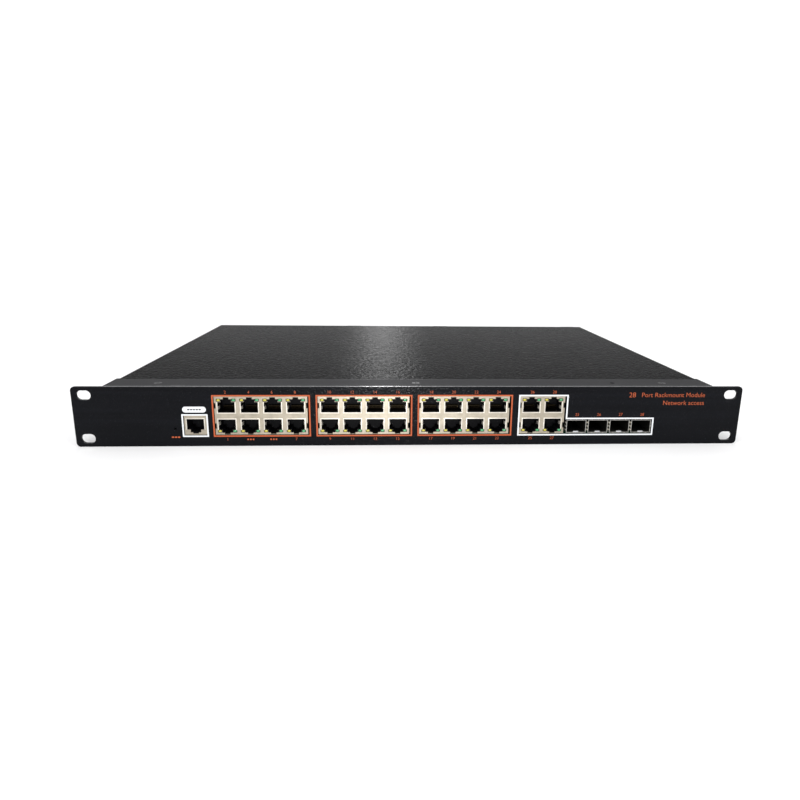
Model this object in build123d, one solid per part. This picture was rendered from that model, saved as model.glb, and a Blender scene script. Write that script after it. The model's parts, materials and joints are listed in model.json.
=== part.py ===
from build123d import *
import os
from math import atan2, cos, degrees, hypot, radians, sin

# A one-unit rackmount network switch. All sizes are in millimetres.
# X runs along the front panel, +Y runs back from it and +Z is up. Z = 0 is the underside.
# Depths are measured back from the front panel's face and turned into Y by front_face.

# ---- driving dimensions ----
panel_width = 482.6
panel_height = 44.0
panel_thick = 2.0
panel_corner = 3.0
slot_spacing_x = 465.1
slot_spacing_z = 31.75
slot_length = 10.0
slot_width = 6.8

case_width = 440.0
case_height = 43.5
case_depth = 318.0
sheet = 1.2
fit_gap = 0.1
rear_reach = 9.0
lip_depth = 25.3
lip_bend = 1.5
cover_bend = 1.8
front_face = -(case_depth + rear_reach) / 2

board_bottom = 6.7
board_top = 8.3
board_half = 192.0
board_front = 4.6
board_back = 205.0

port_pitch = 16.3
block_centres = (-110.9, -37.9, 35.1, 92.4)
block_columns = (4, 4, 4, 2)
block_bottom = 8.4
block_top = 36.6
block_depth = 25.0
jack_face = 0.8
skin = 0.3
cutout_margin = 0.3
wide_margin = 1.1
upper_floor = 24.8
lower_floor = 19.7
jack_width = 12.0
jack_height = 7.8
latch_width = 7.4
latch_height = 2.1
notch_width = 4.0
notch_height = 1.4
jack_reach = 13.5
lamp_width = 2.8
lamp_height = 2.0
lamp_depth = 3.0
lamp_offset = 5.3
upper_lamp = 34.0
lower_lamp = 11.0

console_x = -157.6
console_half = 7.8
console_top = 22.6
console_floor = 20.1
console_depth = 18.0
reset_x = -171.7
reset_z = 13.1

sfp_first = 118.4
sfp_pitch = 16.25
sfp_count = 4
sfp_width = 14.0
sfp_floor = 9.3
sfp_roof = 18.4
sfp_wall = 0.35
sfp_spring = 0.55
sfp_depth = 48.0
sfp_front = 0.4

lip_screw_xs = (-186.0, 0.0, 186.0)
lip_screw_depth = 14.0
spare_hole_x = 147.8
hook_slot = (-174.5, -164.5)
side_screw_depths = (70.0, 170.0, 290.0)
side_screw_z = 5.6
bracket_depth = 35.0
bracket_thick = 2.5
bracket_screw_depths = (12.0, 27.0)
bracket_screw_zs = (11.0, 33.0)
tab_xs = (-60.0, 45.0, 203.0)
tab_half = 8.0
tab_bottom = 32.0
tab_screw_z = 36.5

inlet_x = -170.0
inlet_half = 24.0
inlet_bottom = 7.0
inlet_top = 38.0
socket_z = 27.0
drawer_z = 12.5
rocker_x = -122.0
rocker_z = 22.0
rocker_swing = 18.0
stud_x = -206.0
stud_z = 22.0
stud_root = 2.6
stud_end = 2.0
fan_xs = (112.0, 160.0)
fan_z = 22.0
fan_side = 40.0
fan_depth = 20.0
fan_bore = 18.8
fan_hole = 16.0
blade_count = 7

wall_inner = case_depth - sheet
LOW = (Align.MIN, Align.MIN, Align.MIN)
BASE = (Align.CENTER, Align.CENTER, Align.MIN)


# ---- shared shapes ----
def slab(x0, x1, y0, y1, z0, z1):
    """A box between two corners; its depths y0 and y1 count from the front panel's face."""
    corner = Pos(min(x0, x1), front_face + min(y0, y1), min(z0, z1))
    return corner * Box(abs(x1 - x0), abs(y1 - y0), abs(z1 - z0), align=LOW)


def rod_y(x, z, radius, y0, y1):
    """A round bar along the depth."""
    return Pos(x, front_face + y0, z) * Rot(-90, 0, 0) * Cylinder(radius, y1 - y0, align=BASE)


def rod_x(x0, x1, y, z, radius):
    """A round bar along X."""
    return Pos(min(x0, x1), front_face + y, z) * Rot(0, 90, 0) * Cylinder(radius, abs(x1 - x0), align=BASE)


def rod_z(x, y, radius, z0, z1):
    """An upright round bar."""
    return Pos(x, front_face + y, z0) * Cylinder(radius, z1 - z0, align=BASE)


def both_sides(make):
    """The pieces that a function makes for the left side, -1, and the right side, +1."""
    return [make(-1), make(1)]


def save(node, pieces):
    """Writes a node's separate solids to its own file."""
    shapes = pieces if isinstance(pieces, (list, tuple)) else [pieces]
    solids = [solid for shape in shapes for solid in shape.solids()]
    export_step(Compound(solids), f"parts/{node}.step")


def pan_screw(head_radius, head_height, shank_radius, shank_length):
    """A cross-head screw at the origin: its shank runs down from Z = 0 and its domed head stands above."""
    head = Cylinder(head_radius, head_height, align=BASE)
    head = fillet(head.edges().group_by(Axis.Z)[-1], head_height * 0.45)
    shank = Pos(0, 0, -shank_length) * Cylinder(shank_radius, shank_length + 0.2, align=BASE)
    arm = Pos(0, 0, head_height * 0.45) * Box(head_radius * 1.1, head_radius * 0.24, head_height, align=BASE)
    return head + shank - arm - Rot(0, 0, 90) * arm


def flat_screw(head_radius, head_height, shank_radius, shank_length):
    """A countersunk cross-head screw whose flat top lies at Z = 0."""
    head = Pos(0, 0, -head_height) * Cone(shank_radius, head_radius, head_height, align=BASE)
    shank = Pos(0, 0, -shank_length) * Cylinder(shank_radius, shank_length - head_height * 0.5, align=BASE)
    arm = Pos(0, 0, -head_height * 0.6) * Box(head_radius * 1.1, head_radius * 0.24, head_height, align=BASE)
    return head + shank - arm - Rot(0, 0, 90) * arm


def hex_nut(across, height, hole):
    """A hexagon nut standing on Z = 0."""
    body = extrude(RegularPolygon(across / 2, 6, major_radius=False), height)
    return body - Cylinder(hole, height, align=BASE)


def ports():
    """Every network jack: its block's number, centre X, floor Z and latch direction."""
    found = []
    for block, (centre, columns) in enumerate(zip(block_centres, block_columns)):
        for column in range(columns):
            x = centre + (column - (columns - 1) / 2) * port_pitch
            found.append((block, x, upper_floor, 1))
            found.append((block, x, lower_floor, -1))
    return found


def block_half(block):
    """Half the width of a jack block."""
    return block_columns[block] * port_pitch / 2 + 0.2


def jack_cut(x, floor, latch, y0, y1, notch=notch_height):
    """The stepped opening of a network jack, from its floor towards its latch."""
    shoulder = floor + latch * jack_height
    step = shoulder + latch * latch_height
    return [
        slab(x - jack_width / 2, x + jack_width / 2, y0, y1, floor, shoulder),
        slab(x - latch_width / 2, x + latch_width / 2, y0, y1, shoulder - latch, step),
        slab(x - notch_width / 2, x + notch_width / 2, y0, y1, step - latch, step + latch * notch),
    ]


def lamp_boxes(block, side, grow=0.0):
    """The lamp lenses on one side, -1 or +1, of each jack in a block."""
    boxes = []
    for number, x, floor, latch in ports():
        if number != block:
            continue
        z = upper_lamp if latch > 0 else lower_lamp
        centre = x + side * lamp_offset
        half_w = lamp_width / 2 + grow
        half_h = lamp_height / 2 + grow
        boxes.append(slab(centre - half_w, centre + half_w, jack_face, jack_face + lamp_depth,
                          z - half_h, z + half_h))
    return boxes


def contact_comb(x, floor, latch):
    """The eight spring contacts of a jack on the moulded strip at its back."""
    near, far = jack_face + 2.5, jack_face + 11.0
    low, high = floor + latch * 0.45, floor + latch * 2.0
    length = hypot(far - near, high - low)
    tilt = degrees(atan2(high - low, far - near))
    middle = Pos(x, front_face + (near + far) / 2, (low + high) / 2)
    wires = [middle * Rot(tilt, 0, 0) * Pos((i - 3.5) * 1.02, 0, 0) * Box(0.42, length, 0.3)
             for i in range(8)]
    strip = slab(x - 4.6, x + 4.6, far - 0.6, jack_face + jack_reach - 0.1, floor + latch * 0.1,
                 floor + latch * 2.6)
    comb = strip
    for wire in wires:
        comb += wire
    return comb


# ---- front and case ----
def front_cuts(y0, y1, grow):
    """The openings for the jacks, the console jack, the optical cage and the reset pin."""
    low, high = block_bottom - cutout_margin - grow, block_top + cutout_margin + grow
    cuts = []
    for block, centre in enumerate(block_centres):
        left = centre - block_half(block) - cutout_margin - grow
        right = centre + block_half(block) + wide_margin + grow
        cuts.append(slab(left, right, y0, y1, low, high))
    half = console_half + cutout_margin + grow
    cuts.append(slab(console_x - half, console_x + half, y0, y1, low, console_top + cutout_margin + grow))
    edge = sfp_wall + sfp_spring + cutout_margin / 2 + grow
    right = sfp_xs()[-1] + sfp_width / 2 + edge
    cuts.append(slab(block_centres[-1], right, y0, y1, low, sfp_roof + edge))
    cuts.append(rod_y(reset_x, reset_z, 0.9 + grow * 1.6, y0, y1))
    return cuts


def rack_slots():
    """The four rounded slots that the rack's bolts pass through."""
    slots = []
    for x in (-slot_spacing_x / 2, slot_spacing_x / 2):
        for z in (-slot_spacing_z / 2, slot_spacing_z / 2):
            outline = SlotOverall(slot_length, slot_width)
            tool = extrude(outline, panel_thick + 2)
            slots.append(Pos(x, front_face - 1, panel_height / 2 + z) * Rot(-90, 0, 0) * tool)
    return slots


panel_stud_places = [(x, z) for x in (-205.0, -148.0, 112.0, 205.0) for z in (38.9, 4.2)]


def front_panel():
    """The flat panel with its rounded corners, and the clinched studs on its back."""
    plate = slab(-panel_width / 2, panel_width / 2, 0, panel_thick, 0, panel_height)
    plate = fillet(plate.edges().filter_by(Axis.Y), panel_corner)
    rim = plate.faces().filter_by(Axis.Y).group_by(Axis.Y)[0].edges()
    plate = chamfer(rim, 0.25)
    plate = plate - rack_slots() - front_cuts(-1, panel_thick + 1, 0.0)
    for x, z in panel_stud_places:
        plate += rod_y(x, z, 1.5, panel_thick - 0.2, panel_thick + 6.0)
    return plate


def panel_nuts():
    """The nuts that clamp the panel's studs behind the tray's front wall."""
    nut = hex_nut(5.0, 2.0, 1.55)
    back = front_face + panel_thick + sheet
    return [Pos(x, back, z) * Rot(-90, 0, 0) * nut for x, z in panel_stud_places]


def tray_side(side):
    """The tray's low side flange with its tall front ear."""
    inner, outer = side * 217.4, side * 218.7
    low = slab(inner, outer, panel_thick, wall_inner, sheet - 0.2, 10.0)
    tall = slab(inner, outer, panel_thick, bracket_depth + 3.0, sheet - 0.2, 40.0)
    return low + tall


def fan_wall_cuts(y0, y1):
    """The air holes and the screw holes of the two fans."""
    cuts = []
    for x in fan_xs:
        cuts.append(rod_y(x, fan_z, fan_bore - 0.3, y0, y1))
        cuts += [rod_y(x + dx, fan_z + dz, 1.7, y0, y1) for dx, dz in fan_corners()]
    return cuts


def fan_corners():
    """Where a fan's four screws stand about its axis."""
    return [(i * fan_hole, j * fan_hole) for i in (-1, 1) for j in (-1, 1)]


def standoff_places():
    """Where the main board stands on its pillars."""
    return [(x, y) for x in (-182.0, -72.0, 72.0, 182.0) for y in (30.0, 110.0,
                                                                   195.0) if abs(x) > 80 or y > 40]


def supply_places():
    """Where the power supply's board stands on its pillars."""
    return [(x, y) for x in (-200.0, -76.0) for y in (220.0, 282.0)]


def base_tray():
    """The folded tray: floor, front wall with its top lip, rear wall and side flanges."""
    half = case_width / 2
    front = slab(-half, half, panel_thick, lip_depth, 0, case_height)
    top_front = front.edges().filter_by(Axis.X).group_by(Axis.Y)[0].group_by(Axis.Z)[-1]
    front = fillet(top_front, lip_bend)
    hollow = slab(-half - 1, half + 1, panel_thick + sheet, lip_depth + 1, sheet, case_height - sheet)
    hollow_front = hollow.edges().filter_by(Axis.X).group_by(Axis.Y)[0].group_by(Axis.Z)[-1]
    front -= fillet(hollow_front, lip_bend - sheet + 0.2)
    tray = front + slab(-half, half, lip_depth - 1, case_depth, 0, sheet)
    tray += slab(-218.7, 218.7, wall_inner, case_depth, 0, case_height - sheet - 0.4)
    for flange in both_sides(tray_side):
        tray += flange
    web = (panel_thick - 1, panel_thick + sheet + 0.6)
    cuts = front_cuts(*web, 0.5)
    cuts += [rod_y(x, z, 1.6, *web) for x, z in panel_stud_places]
    for x in lip_screw_xs:
        sink = Cone(1.6, 2.95, sheet, align=BASE)
        cuts.append(Pos(x, front_face + lip_screw_depth, case_height - sheet) * sink)
    wall = (wall_inner - 1, case_depth + 1)
    cuts += fan_wall_cuts(*wall)
    cuts.append(slab(inlet_x - 17.2, inlet_x + 17.2, *wall, inlet_bottom + 1.6, inlet_top - 1.6))
    cuts.append(slab(rocker_x - 6.7, rocker_x + 6.7, *wall, rocker_z - 10.7, rocker_z + 10.7))
    cuts.append(rod_y(stud_x, stud_z, stud_root + 0.05, *wall))
    cuts += [rod_y(inlet_x + s * 20.0, socket_z, 1.6, *wall) for s in (-1, 1)]
    cuts += [rod_y(x, tab_screw_z, 1.55, *wall) for x in tab_xs]
    for side in (-1, 1):
        span = (side * 216.0, side * 219.5)
        cuts += [rod_x(*span, y, side_screw_z, 1.55) for y in side_screw_depths]
        cuts += [rod_x(*span, y, z, 1.55) for y in bracket_screw_depths for z in bracket_screw_zs]
    cuts += [rod_z(x, y, 8.0, -1, 0.3) for x in (-195.0, 195.0) for y in (40.0, 280.0)]
    cuts.append(rod_z(spare_hole_x, lip_screw_depth, 1.6, case_height - sheet - 0.1, case_height + 1))
    cuts.append(slab(*hook_slot, panel_thick - 1, panel_thick + 2.2, case_height - 0.8, case_height + 1))
    tray = tray - cuts
    return tray


def top_cover():
    """The cover: top, two side walls, the tongue under the lip and three rear tabs."""
    half = case_width / 2
    shell = slab(-half, half, panel_thick + sheet + 0.3, case_depth, sheet + fit_gap, case_height)
    shell = fillet(shell.edges().filter_by(Axis.Y).group_by(Axis.Z)[-1], cover_bend)
    hollow = slab(-half + sheet, half - sheet, 0, case_depth + 2, 0, case_height - sheet)
    hollow = fillet(hollow.edges().filter_by(Axis.Y).group_by(Axis.Z)[-1], cover_bend - sheet)
    shell -= hollow
    under_lip = case_height - sheet - fit_gap
    shell -= slab(-half - 1, half + 1, 0, lip_depth + fit_gap, under_lip, case_height + 1)
    tongue = slab(-212, 212, 8.0, lip_depth + 2.0, under_lip - sheet, under_lip)
    joggle = slab(-212, 212, lip_depth + fit_gap, lip_depth + 2.4, under_lip - sheet, case_height - 0.4)
    cover = shell + tongue + joggle
    for x in tab_xs:
        cover += slab(x - tab_half, x + tab_half, case_depth - 1, case_depth + sheet + fit_gap,
                      case_height - sheet, case_height)
        cover += slab(x - tab_half, x + tab_half, case_depth + fit_gap, case_depth + sheet + fit_gap,
                      tab_bottom, case_height)
    cuts = [rod_z(x, lip_screw_depth, 1.55, under_lip - sheet - 1, under_lip + 0.05) for x in lip_screw_xs]
    cuts += [rod_y(x, tab_screw_z, 1.55, case_depth, case_depth + 2) for x in tab_xs]
    for side in (-1, 1):
        span = (side * 218.0, side * 221.0)
        cuts += [rod_x(*span, y, side_screw_z, 1.55) for y in side_screw_depths]
        cuts += [rod_x(*span, y, z, 1.55) for y in bracket_screw_depths for z in bracket_screw_zs]
    for start in (80.0, 200.0):
        for i in range(12):
            y = start + i * 6.4
            cuts.append(slab(-half - 1, half + 1, y, y + 2.8, 14.0, 35.0))
    cover = cover - cuts
    return cover


def rack_bracket(side):
    """An L bracket: its long leg lies on the case's side, its short leg behind the panel's ear."""
    inner, outer = side * (case_width / 2 + fit_gap), side * (case_width / 2 + fit_gap + bracket_thick)
    leg = slab(inner, outer, panel_thick, bracket_depth, 1.0, 42.6)
    foot = slab(inner, side * 226.4, panel_thick, panel_thick + bracket_thick, 1.0, 42.6)
    bracket = leg + foot
    rear_corners = bracket.edges().filter_by(Axis.X).group_by(Axis.Y)[-1]
    bracket = fillet(rear_corners, 3.0)
    cuts = [rod_x(side * 219.0, side * 224.0, y, z, 1.6) for y in bracket_screw_depths
            for z in bracket_screw_zs]
    bracket = bracket - cuts
    return bracket


def side_screw(side, y, z, face, length):
    """A cross-head screw driven into the case's side."""
    turn = Rot(0, side * 90, 0)
    return Pos(side * face, front_face + y, z) * turn * pan_screw(2.7, 1.2, 1.5, length)


def lip_screws():
    """The countersunk screws along the front lip."""
    return [Pos(x, front_face + lip_screw_depth, case_height) * flat_screw(2.9, 1.15, 1.5, 5.5)
            for x in lip_screw_xs]


def cover_side_screws():
    """The screws along the foot of both side walls."""
    return [side_screw(s, y, side_screw_z, case_width / 2, 4.5) for s in (-1, 1) for y in side_screw_depths]


def bracket_screws():
    """Four screws through each rack bracket."""
    face = case_width / 2 + fit_gap + bracket_thick
    return [side_screw(s, y, z, face, 6.5) for s in (-1, 1) for y in bracket_screw_depths
            for z in bracket_screw_zs]


def rear_screw(x, z, y, length, head=2.7):
    """A cross-head screw driven in from the rear."""
    return Pos(x, front_face + y, z) * Rot(-90, 0, 0) * pan_screw(head, 1.2, 1.5, length)


def tab_screws():
    """The screws of the cover's rear tabs."""
    return [rear_screw(x, tab_screw_z, case_depth + sheet + fit_gap, 5.0) for x in tab_xs]


# ---- jacks and optical cage ----
def port_shield(block):
    """The plated can around a jack block: face with the jack openings, roof, sides, floor and back."""
    centre, half = block_centres[block], block_half(block)
    can = slab(centre - half, centre + half, jack_face, jack_face + block_depth, block_bottom, block_top)
    inner = slab(centre - half + skin, centre + half - skin, jack_face + skin,
                 jack_face + block_depth - skin,
                 block_bottom + skin, block_top - skin)
    cuts = [inner]
    for number, x, floor, latch in ports():
        if number == block:
            cuts += jack_cut(x, floor, latch, 0, jack_face + skin + 0.1)
    cuts += lamp_boxes(block, -1, 0.02) + lamp_boxes(block, 1, 0.02)
    for side in (-1, 1):
        for z in (14.9, 29.9):
            edge = centre + side * half
            cuts.append(slab(edge - side * 1.0, edge + side, 0, jack_face + 5.0, z - 2.0, z + 2.0))
    can = can - cuts
    return can


def port_insert(block):
    """The moulded body inside a jack block, with a stepped cavity for each jack."""
    centre, half = block_centres[block], block_half(block) - skin - 0.02
    body = slab(centre - half, centre + half, jack_face + skin + 0.02, jack_face + block_depth - skin - 0.02,
                block_bottom + skin + 0.02, block_top - skin - 0.02)
    cuts = []
    for number, x, floor, latch in ports():
        if number == block:
            cuts += jack_cut(x, floor, latch, 0, jack_face + jack_reach)
    cuts += lamp_boxes(block, -1, 0.02) + lamp_boxes(block, 1, 0.02)
    body = body - cuts
    return body


def jack_contacts():
    """A comb of contacts for each network jack and one for the console jack."""
    combs = [contact_comb(x, floor, latch) for number, x, floor, latch in ports()]
    return combs + [contact_comb(console_x, console_floor, -1)]


console_notch = 0.9


def console_shield():
    """The plated can around the console jack."""
    can = slab(console_x - console_half, console_x + console_half, jack_face, jack_face + console_depth,
               block_bottom, console_top)
    inner = slab(console_x - console_half + skin, console_x + console_half - skin, jack_face + skin,
                 jack_face + console_depth - skin, block_bottom + skin, console_top - skin)
    can = can - [inner] - jack_cut(console_x, console_floor, -1, 0, jack_face + skin + 0.1, console_notch)
    return can


def console_insert():
    """The moulded body of the console jack."""
    half = console_half - skin - 0.02
    body = slab(console_x - half, console_x + half, jack_face + skin + 0.02,
                jack_face + console_depth - skin - 0.02,
                block_bottom + skin + 0.02, console_top - skin - 0.02)
    body = body - jack_cut(console_x, console_floor, -1, 0, jack_face + jack_reach, 0.5)
    return body


def sfp_xs():
    """The centres of the optical module bays."""
    return [sfp_first + i * sfp_pitch for i in range(sfp_count)]


def sfp_shell(x, y0, y1, grow):
    """The outer block of one bay, grown on its four long sides."""
    half = sfp_width / 2 + grow
    return slab(x - half, x + half, y0, y1, sfp_floor - grow, sfp_roof + grow)


def sfp_cage():
    """Four sheet-metal bays side by side, each open at the front and closed at the back."""
    return [sfp_shell(x, sfp_front, sfp_depth, sfp_wall) - sfp_shell(x, 0, sfp_depth - sfp_wall, 0)
            for x in sfp_xs()]


def sfp_gasket():
    """The spring rings around the bays, just inside the panel's opening."""
    near, far = sfp_front + 0.1, sfp_front + 4.6
    outer = sfp_wall + sfp_spring
    return [sfp_shell(x, near, far, outer) - sfp_shell(x, 0, far + 1, sfp_wall + 0.02) for x in sfp_xs()]


def sfp_connectors():
    """The edge connectors at the back of the bays."""
    made = []
    for x in sfp_xs():
        body = slab(x - 6.0, x + 6.0, 38.0, 47.0, sfp_floor + 0.1, 15.0)
        body = body - slab(x - 4.8, x + 4.8, 37.0, 44.0, 11.6, 12.8)
        made.append(body)
    return made


# ---- reset button ----
reset_face = 7.5


def reset_switch():
    """The body of the reset switch on the board, with the bore for its plunger."""
    body = slab(reset_x - 3.2, reset_x + 3.2, 9.5, 15.5, board_top + 0.05, 16.6)
    return body - rod_y(reset_x, reset_z, 1.3, 9.0, 14.5)


def reset_button():
    """The plunger that a pin pushes through the panel's small hole."""
    return rod_y(reset_x, reset_z, 1.25, reset_face, 13.6)


# ---- main board ----
def with_holes(board, places):
    """A board with its screw holes."""
    holes = [rod_z(x, y, 1.7, board_bottom - 1, board_top + 1) for x, y in places]
    return board - holes


def main_board():
    """The main circuit board."""
    board = slab(-board_half, board_half, board_front, board_back, board_bottom, board_top)
    return with_holes(board, standoff_places())


def pillars(places):
    """Threaded pillars between the tray's floor and a board."""
    return [rod_z(x, y, 3.0, sheet, board_bottom) - rod_z(x, y, 1.55, 2.0, 7.0) for x, y in places]


def board_screws(places):
    """The screws that hold a board on its pillars."""
    return [Pos(x, front_face + y, board_top) * pan_screw(2.9, 1.6, 1.5, 5.0) for x, y in places]


def chip(x, y, width, length, height):
    """A flat package standing on the board."""
    body = slab(x - width / 2, x + width / 2, y - length / 2, y + length / 2, board_top, board_top + height)
    return chamfer(body.edges().group_by(Axis.Z)[-1], 0.2)


def finned_block(x, y, width, length, bottom, height, fins):
    """A heat sink of upright fins on a base."""
    base_height = 2.5
    sink = slab(x - width / 2, x + width / 2, y - length / 2, y + length / 2, bottom, bottom + base_height)
    step = (width - 1.4) / (fins - 1)
    for i in range(fins):
        left = x - width / 2 + i * step
        sink += slab(left, left + 1.4, y - length / 2, y + length / 2, bottom + 1.0, bottom + height)
    return sink


switch_place = (40.0, 125.0)
processor_place = (-60.0, 125.0)


def board_heatsinks():
    """The tall heat sink on the switch chip and the low one on the processor."""
    tall = finned_block(*switch_place, 50.0, 50.0, board_top + 1.8, 22.0, 11)
    low = finned_block(*processor_place, 27.0, 27.0, board_top + 1.6, 12.0, 8)
    return [tall, low]


def line_transformers():
    """The line transformers in a row behind the jack blocks."""
    xs = [c + dx for c in block_centres[:3] for dx in (-16.0, 16.0)] + [block_centres[3]]
    return [chip(x, 40.0, 27.0, 14.0, 6.5) for x in xs]


def line_chips():
    """One line chip behind each large jack block."""
    return [chip(x, 70.0, 20.0, 20.0, 1.4) for x in block_centres[:3]]


def memory_chips():
    """Two memory chips and the program store beside the processor."""
    return [chip(-95.0, 114.0, 10.0, 13.0, 1.2), chip(-95.0, 136.0, 10.0, 13.0, 1.2), chip(-125.0, 125.0,
                                                                                           18.4, 12.0, 1.2)]


def capacitor(x, y, radius, height):
    """A can capacitor standing on a board."""
    can = rod_z(x, y, radius, board_top, board_top + height)
    can = fillet(can.edges().group_by(Axis.Z)[-1], 0.6)
    groove = Pos(x, front_face + y, board_top + 1.6) * Torus(radius + 0.25, 0.6)
    return can - groove


def board_capacitors():
    """Two rows of smoothing capacitors."""
    return [capacitor(100.0 + i * 14.0, y, 4.0, 11.5) for i in range(5) for y in (165.0, 180.0)]


def board_coils():
    """The moulded coils of the board's regulators."""
    return [chip(104.0 + i * 17.0, 142.0, 12.5, 12.5, 6.5) for i in range(4)]


def header(x, y, width):
    """A shrouded header that a lead plugs into."""
    body = slab(x - width / 2, x + width / 2, y - 4.0, y + 4.0, board_top, board_top + 9.0)
    return body - slab(x - width / 2 + 1, x + width / 2 - 1, y - 3.0, y + 3.0, board_top + 2.0,
                       board_top + 10.0)


header_places = {"supply": (-50.0, 192.0, 26.0), "fan_1": (112.0, 197.0, 9.0), "fan_2": (128.0, 197.0, 9.0)}


def board_headers():
    """The headers for the supply's lead and the two fan leads."""
    return [header(*place) for place in header_places.values()]


# ---- power supply ----
def supply_board():
    """The power supply's circuit board."""
    return with_holes(slab(-206.0, -70.0, 214.0, 288.0, board_bottom, board_top), supply_places())


def supply_insulator():
    """The clear sheet between the supply's board and the tray."""
    sheet_body = slab(-214.0, -64.0, 209.0, 294.0, sheet + 0.05, sheet + 0.4)
    return sheet_body - [rod_z(x, y, 3.4, 0, 3) for x, y in supply_places()]


def supply_transformer():
    """The supply's transformer: ferrite core halves around a wound bobbin."""
    x, y = -108.0, 246.0
    core = slab(x - 16, x + 16, y - 14, y + 14, board_top + 0.1, board_top + 27)
    window = slab(x - 10.5, x + 10.5, y - 15, y + 15, board_top + 5.0, board_top + 22.0)
    limb = slab(x - 5, x + 5, y - 5, y + 5, board_top + 4.9, board_top + 22.1)
    return core - window + limb


def supply_winding():
    """The taped winding on the transformer's middle limb."""
    x, y = -108.0, 246.0
    coil = slab(x - 10.2, x + 10.2, y - 18, y + 18, board_top + 5.2, board_top + 21.8)
    coil = fillet(coil.edges().filter_by(Axis.Z), 5.0)
    return coil - slab(x - 5.1, x + 5.1, y - 5.1, y + 5.1, board_top, board_top + 30)


def supply_capacitors():
    """Two large input capacitors and three output capacitors."""
    large = [capacitor(-150.0, y, 9.0, 30.0) for y in (236.0, 258.0)]
    small = [capacitor(-80.0, y, 5.0, 18.0) for y in (228.0, 241.0, 254.0)]
    return large + small


def supply_heatsinks():
    """Two upright heat sinks with short fins."""
    made = []
    for x in (-131.0, -92.0 + 4.0):
        plate = slab(x - 1.5, x + 1.5, 224.0, 272.0, board_top, board_top + 26.0)
        if x < -100:
            for i in range(7):
                plate += slab(x - 5.0, x, 226.0 + i * 7.0, 227.4 + i * 7.0, board_top + 2.0,
                              board_top + 26.0)
        made.append(plate)
    return made


def supply_choke():
    """The mains choke: a ring standing on edge."""
    ring = rod_x(-190.0, -180.0, 244.0, board_top + 11.2, 11.0) - rod_x(-191.0, -179.0, 244.0,
                                                                        board_top + 11.2, 5.0)
    return fillet(ring.edges().filter_by(GeomType.CIRCLE), 1.5)


def supply_terminals():
    """The mains and output terminal blocks on the supply's board."""
    return [
        slab(-196.0, -174.0, 272.0, 282.0, board_top, board_top + 11.0),
        slab(-112.0, -88.0, 216.5, 223.0, board_top, board_top + 9.0),
    ]


# ---- mains inlet, fuse drawer and rocker ----
def power_inlet():
    """The inlet: flange, housing, the socket's recess and the fuse drawer's tunnel."""
    flange = slab(inlet_x - inlet_half, inlet_x + inlet_half, case_depth + 0.05, case_depth + 3.0,
                  inlet_bottom, inlet_top)
    flange = fillet(flange.edges().filter_by(Axis.Y), 3.0)
    housing = slab(inlet_x - 16.8, inlet_x + 16.8, case_depth - 24.0, case_depth + 1, inlet_bottom + 2,
                   inlet_top - 2)
    recess = slab(inlet_x - 12.2, inlet_x + 12.2, case_depth - 16.0, case_depth + 4, socket_z - 8.3,
                  socket_z + 8.3)
    recess = chamfer(recess.edges().filter_by(Axis.Y).group_by(Axis.Z)[-1], 4.0)
    pins = [slab(x - 1.1, x + 1.1, case_depth - 26, case_depth + 4, z - 2.1, z + 2.1)
            for x, z in inlet_pin_places()]
    tunnel = slab(inlet_x - 8.0, inlet_x + 8.0, case_depth - 22.0, case_depth + 4, drawer_z - 3.6,
                  drawer_z + 3.6)
    screws = []
    for s in (-1, 1):
        sink = Cone(3.0, 1.6, 1.6, align=BASE)
        place = Pos(inlet_x + s * 20.0, front_face + case_depth + 3.0, socket_z)
        screws.append(place * Rot(90, 0, 0) * sink)
        screws.append(rod_y(inlet_x + s * 20.0, socket_z, 1.6, case_depth - 1, case_depth + 4))
    body = flange + housing
    body = body - [recess, tunnel] - screws
    body = body - pins
    return body


def inlet_pin_places():
    """The three blades' places: line, neutral and the raised earth."""
    return [(inlet_x - 7.0, socket_z - 2.0), (inlet_x + 7.0, socket_z - 2.0), (inlet_x, socket_z + 2.0)]


def inlet_pins():
    """The blades with their tails behind the inlet."""
    return [slab(x - 1.0, x + 1.0, case_depth - 30.0, case_depth - 1.5, z - 2.0, z + 2.0)
            for x, z in inlet_pin_places()]


def inlet_screws():
    """The countersunk screws of the inlet's flange."""
    made = []
    for s in (-1, 1):
        place = Pos(inlet_x + s * 20.0, front_face + case_depth + 3.0, socket_z)
        made.append(place * Rot(-90, 0, 0) * flat_screw(2.9, 1.4, 1.5, 7.5))
    return made


def fuse_drawer():
    """The sliding fuse carrier with its finger ledge."""
    body = slab(inlet_x - 7.85, inlet_x + 7.85, case_depth - 19.5, case_depth + 3.05, drawer_z - 3.45,
                drawer_z + 3.45)
    face = slab(inlet_x - 9.0, inlet_x + 9.0, case_depth + 3.05, case_depth + 4.4, drawer_z - 4.3,
                drawer_z + 4.3)
    face = fillet(face.edges().filter_by(Axis.Y), 0.8)
    ledge = slab(inlet_x - 4.0, inlet_x + 4.0, case_depth + 4.3, case_depth + 5.6, drawer_z + 2.2,
                 drawer_z + 3.4)
    cradle = slab(inlet_x - 6.5, inlet_x + 6.5, case_depth - 18.0, case_depth - 1.0, drawer_z - 2.65,
                  drawer_z + 4.0)
    drawer = body + face + ledge - cradle
    return drawer


def fuse():
    """The glass fuse with its end caps, lying across the drawer."""
    y, z = case_depth - 10.0, drawer_z
    glass = rod_x(inlet_x - 4.4, inlet_x + 4.4, y, z, 2.2)
    caps = rod_x(inlet_x - 6.4, inlet_x - 2.6, y, z, 2.5) + rod_x(inlet_x + 2.6, inlet_x + 6.4, y, z, 2.5)
    return glass + caps


pivot_depth = case_depth - 3.0
rocker_round = 8.6
rocker_half = 4.9


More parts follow.
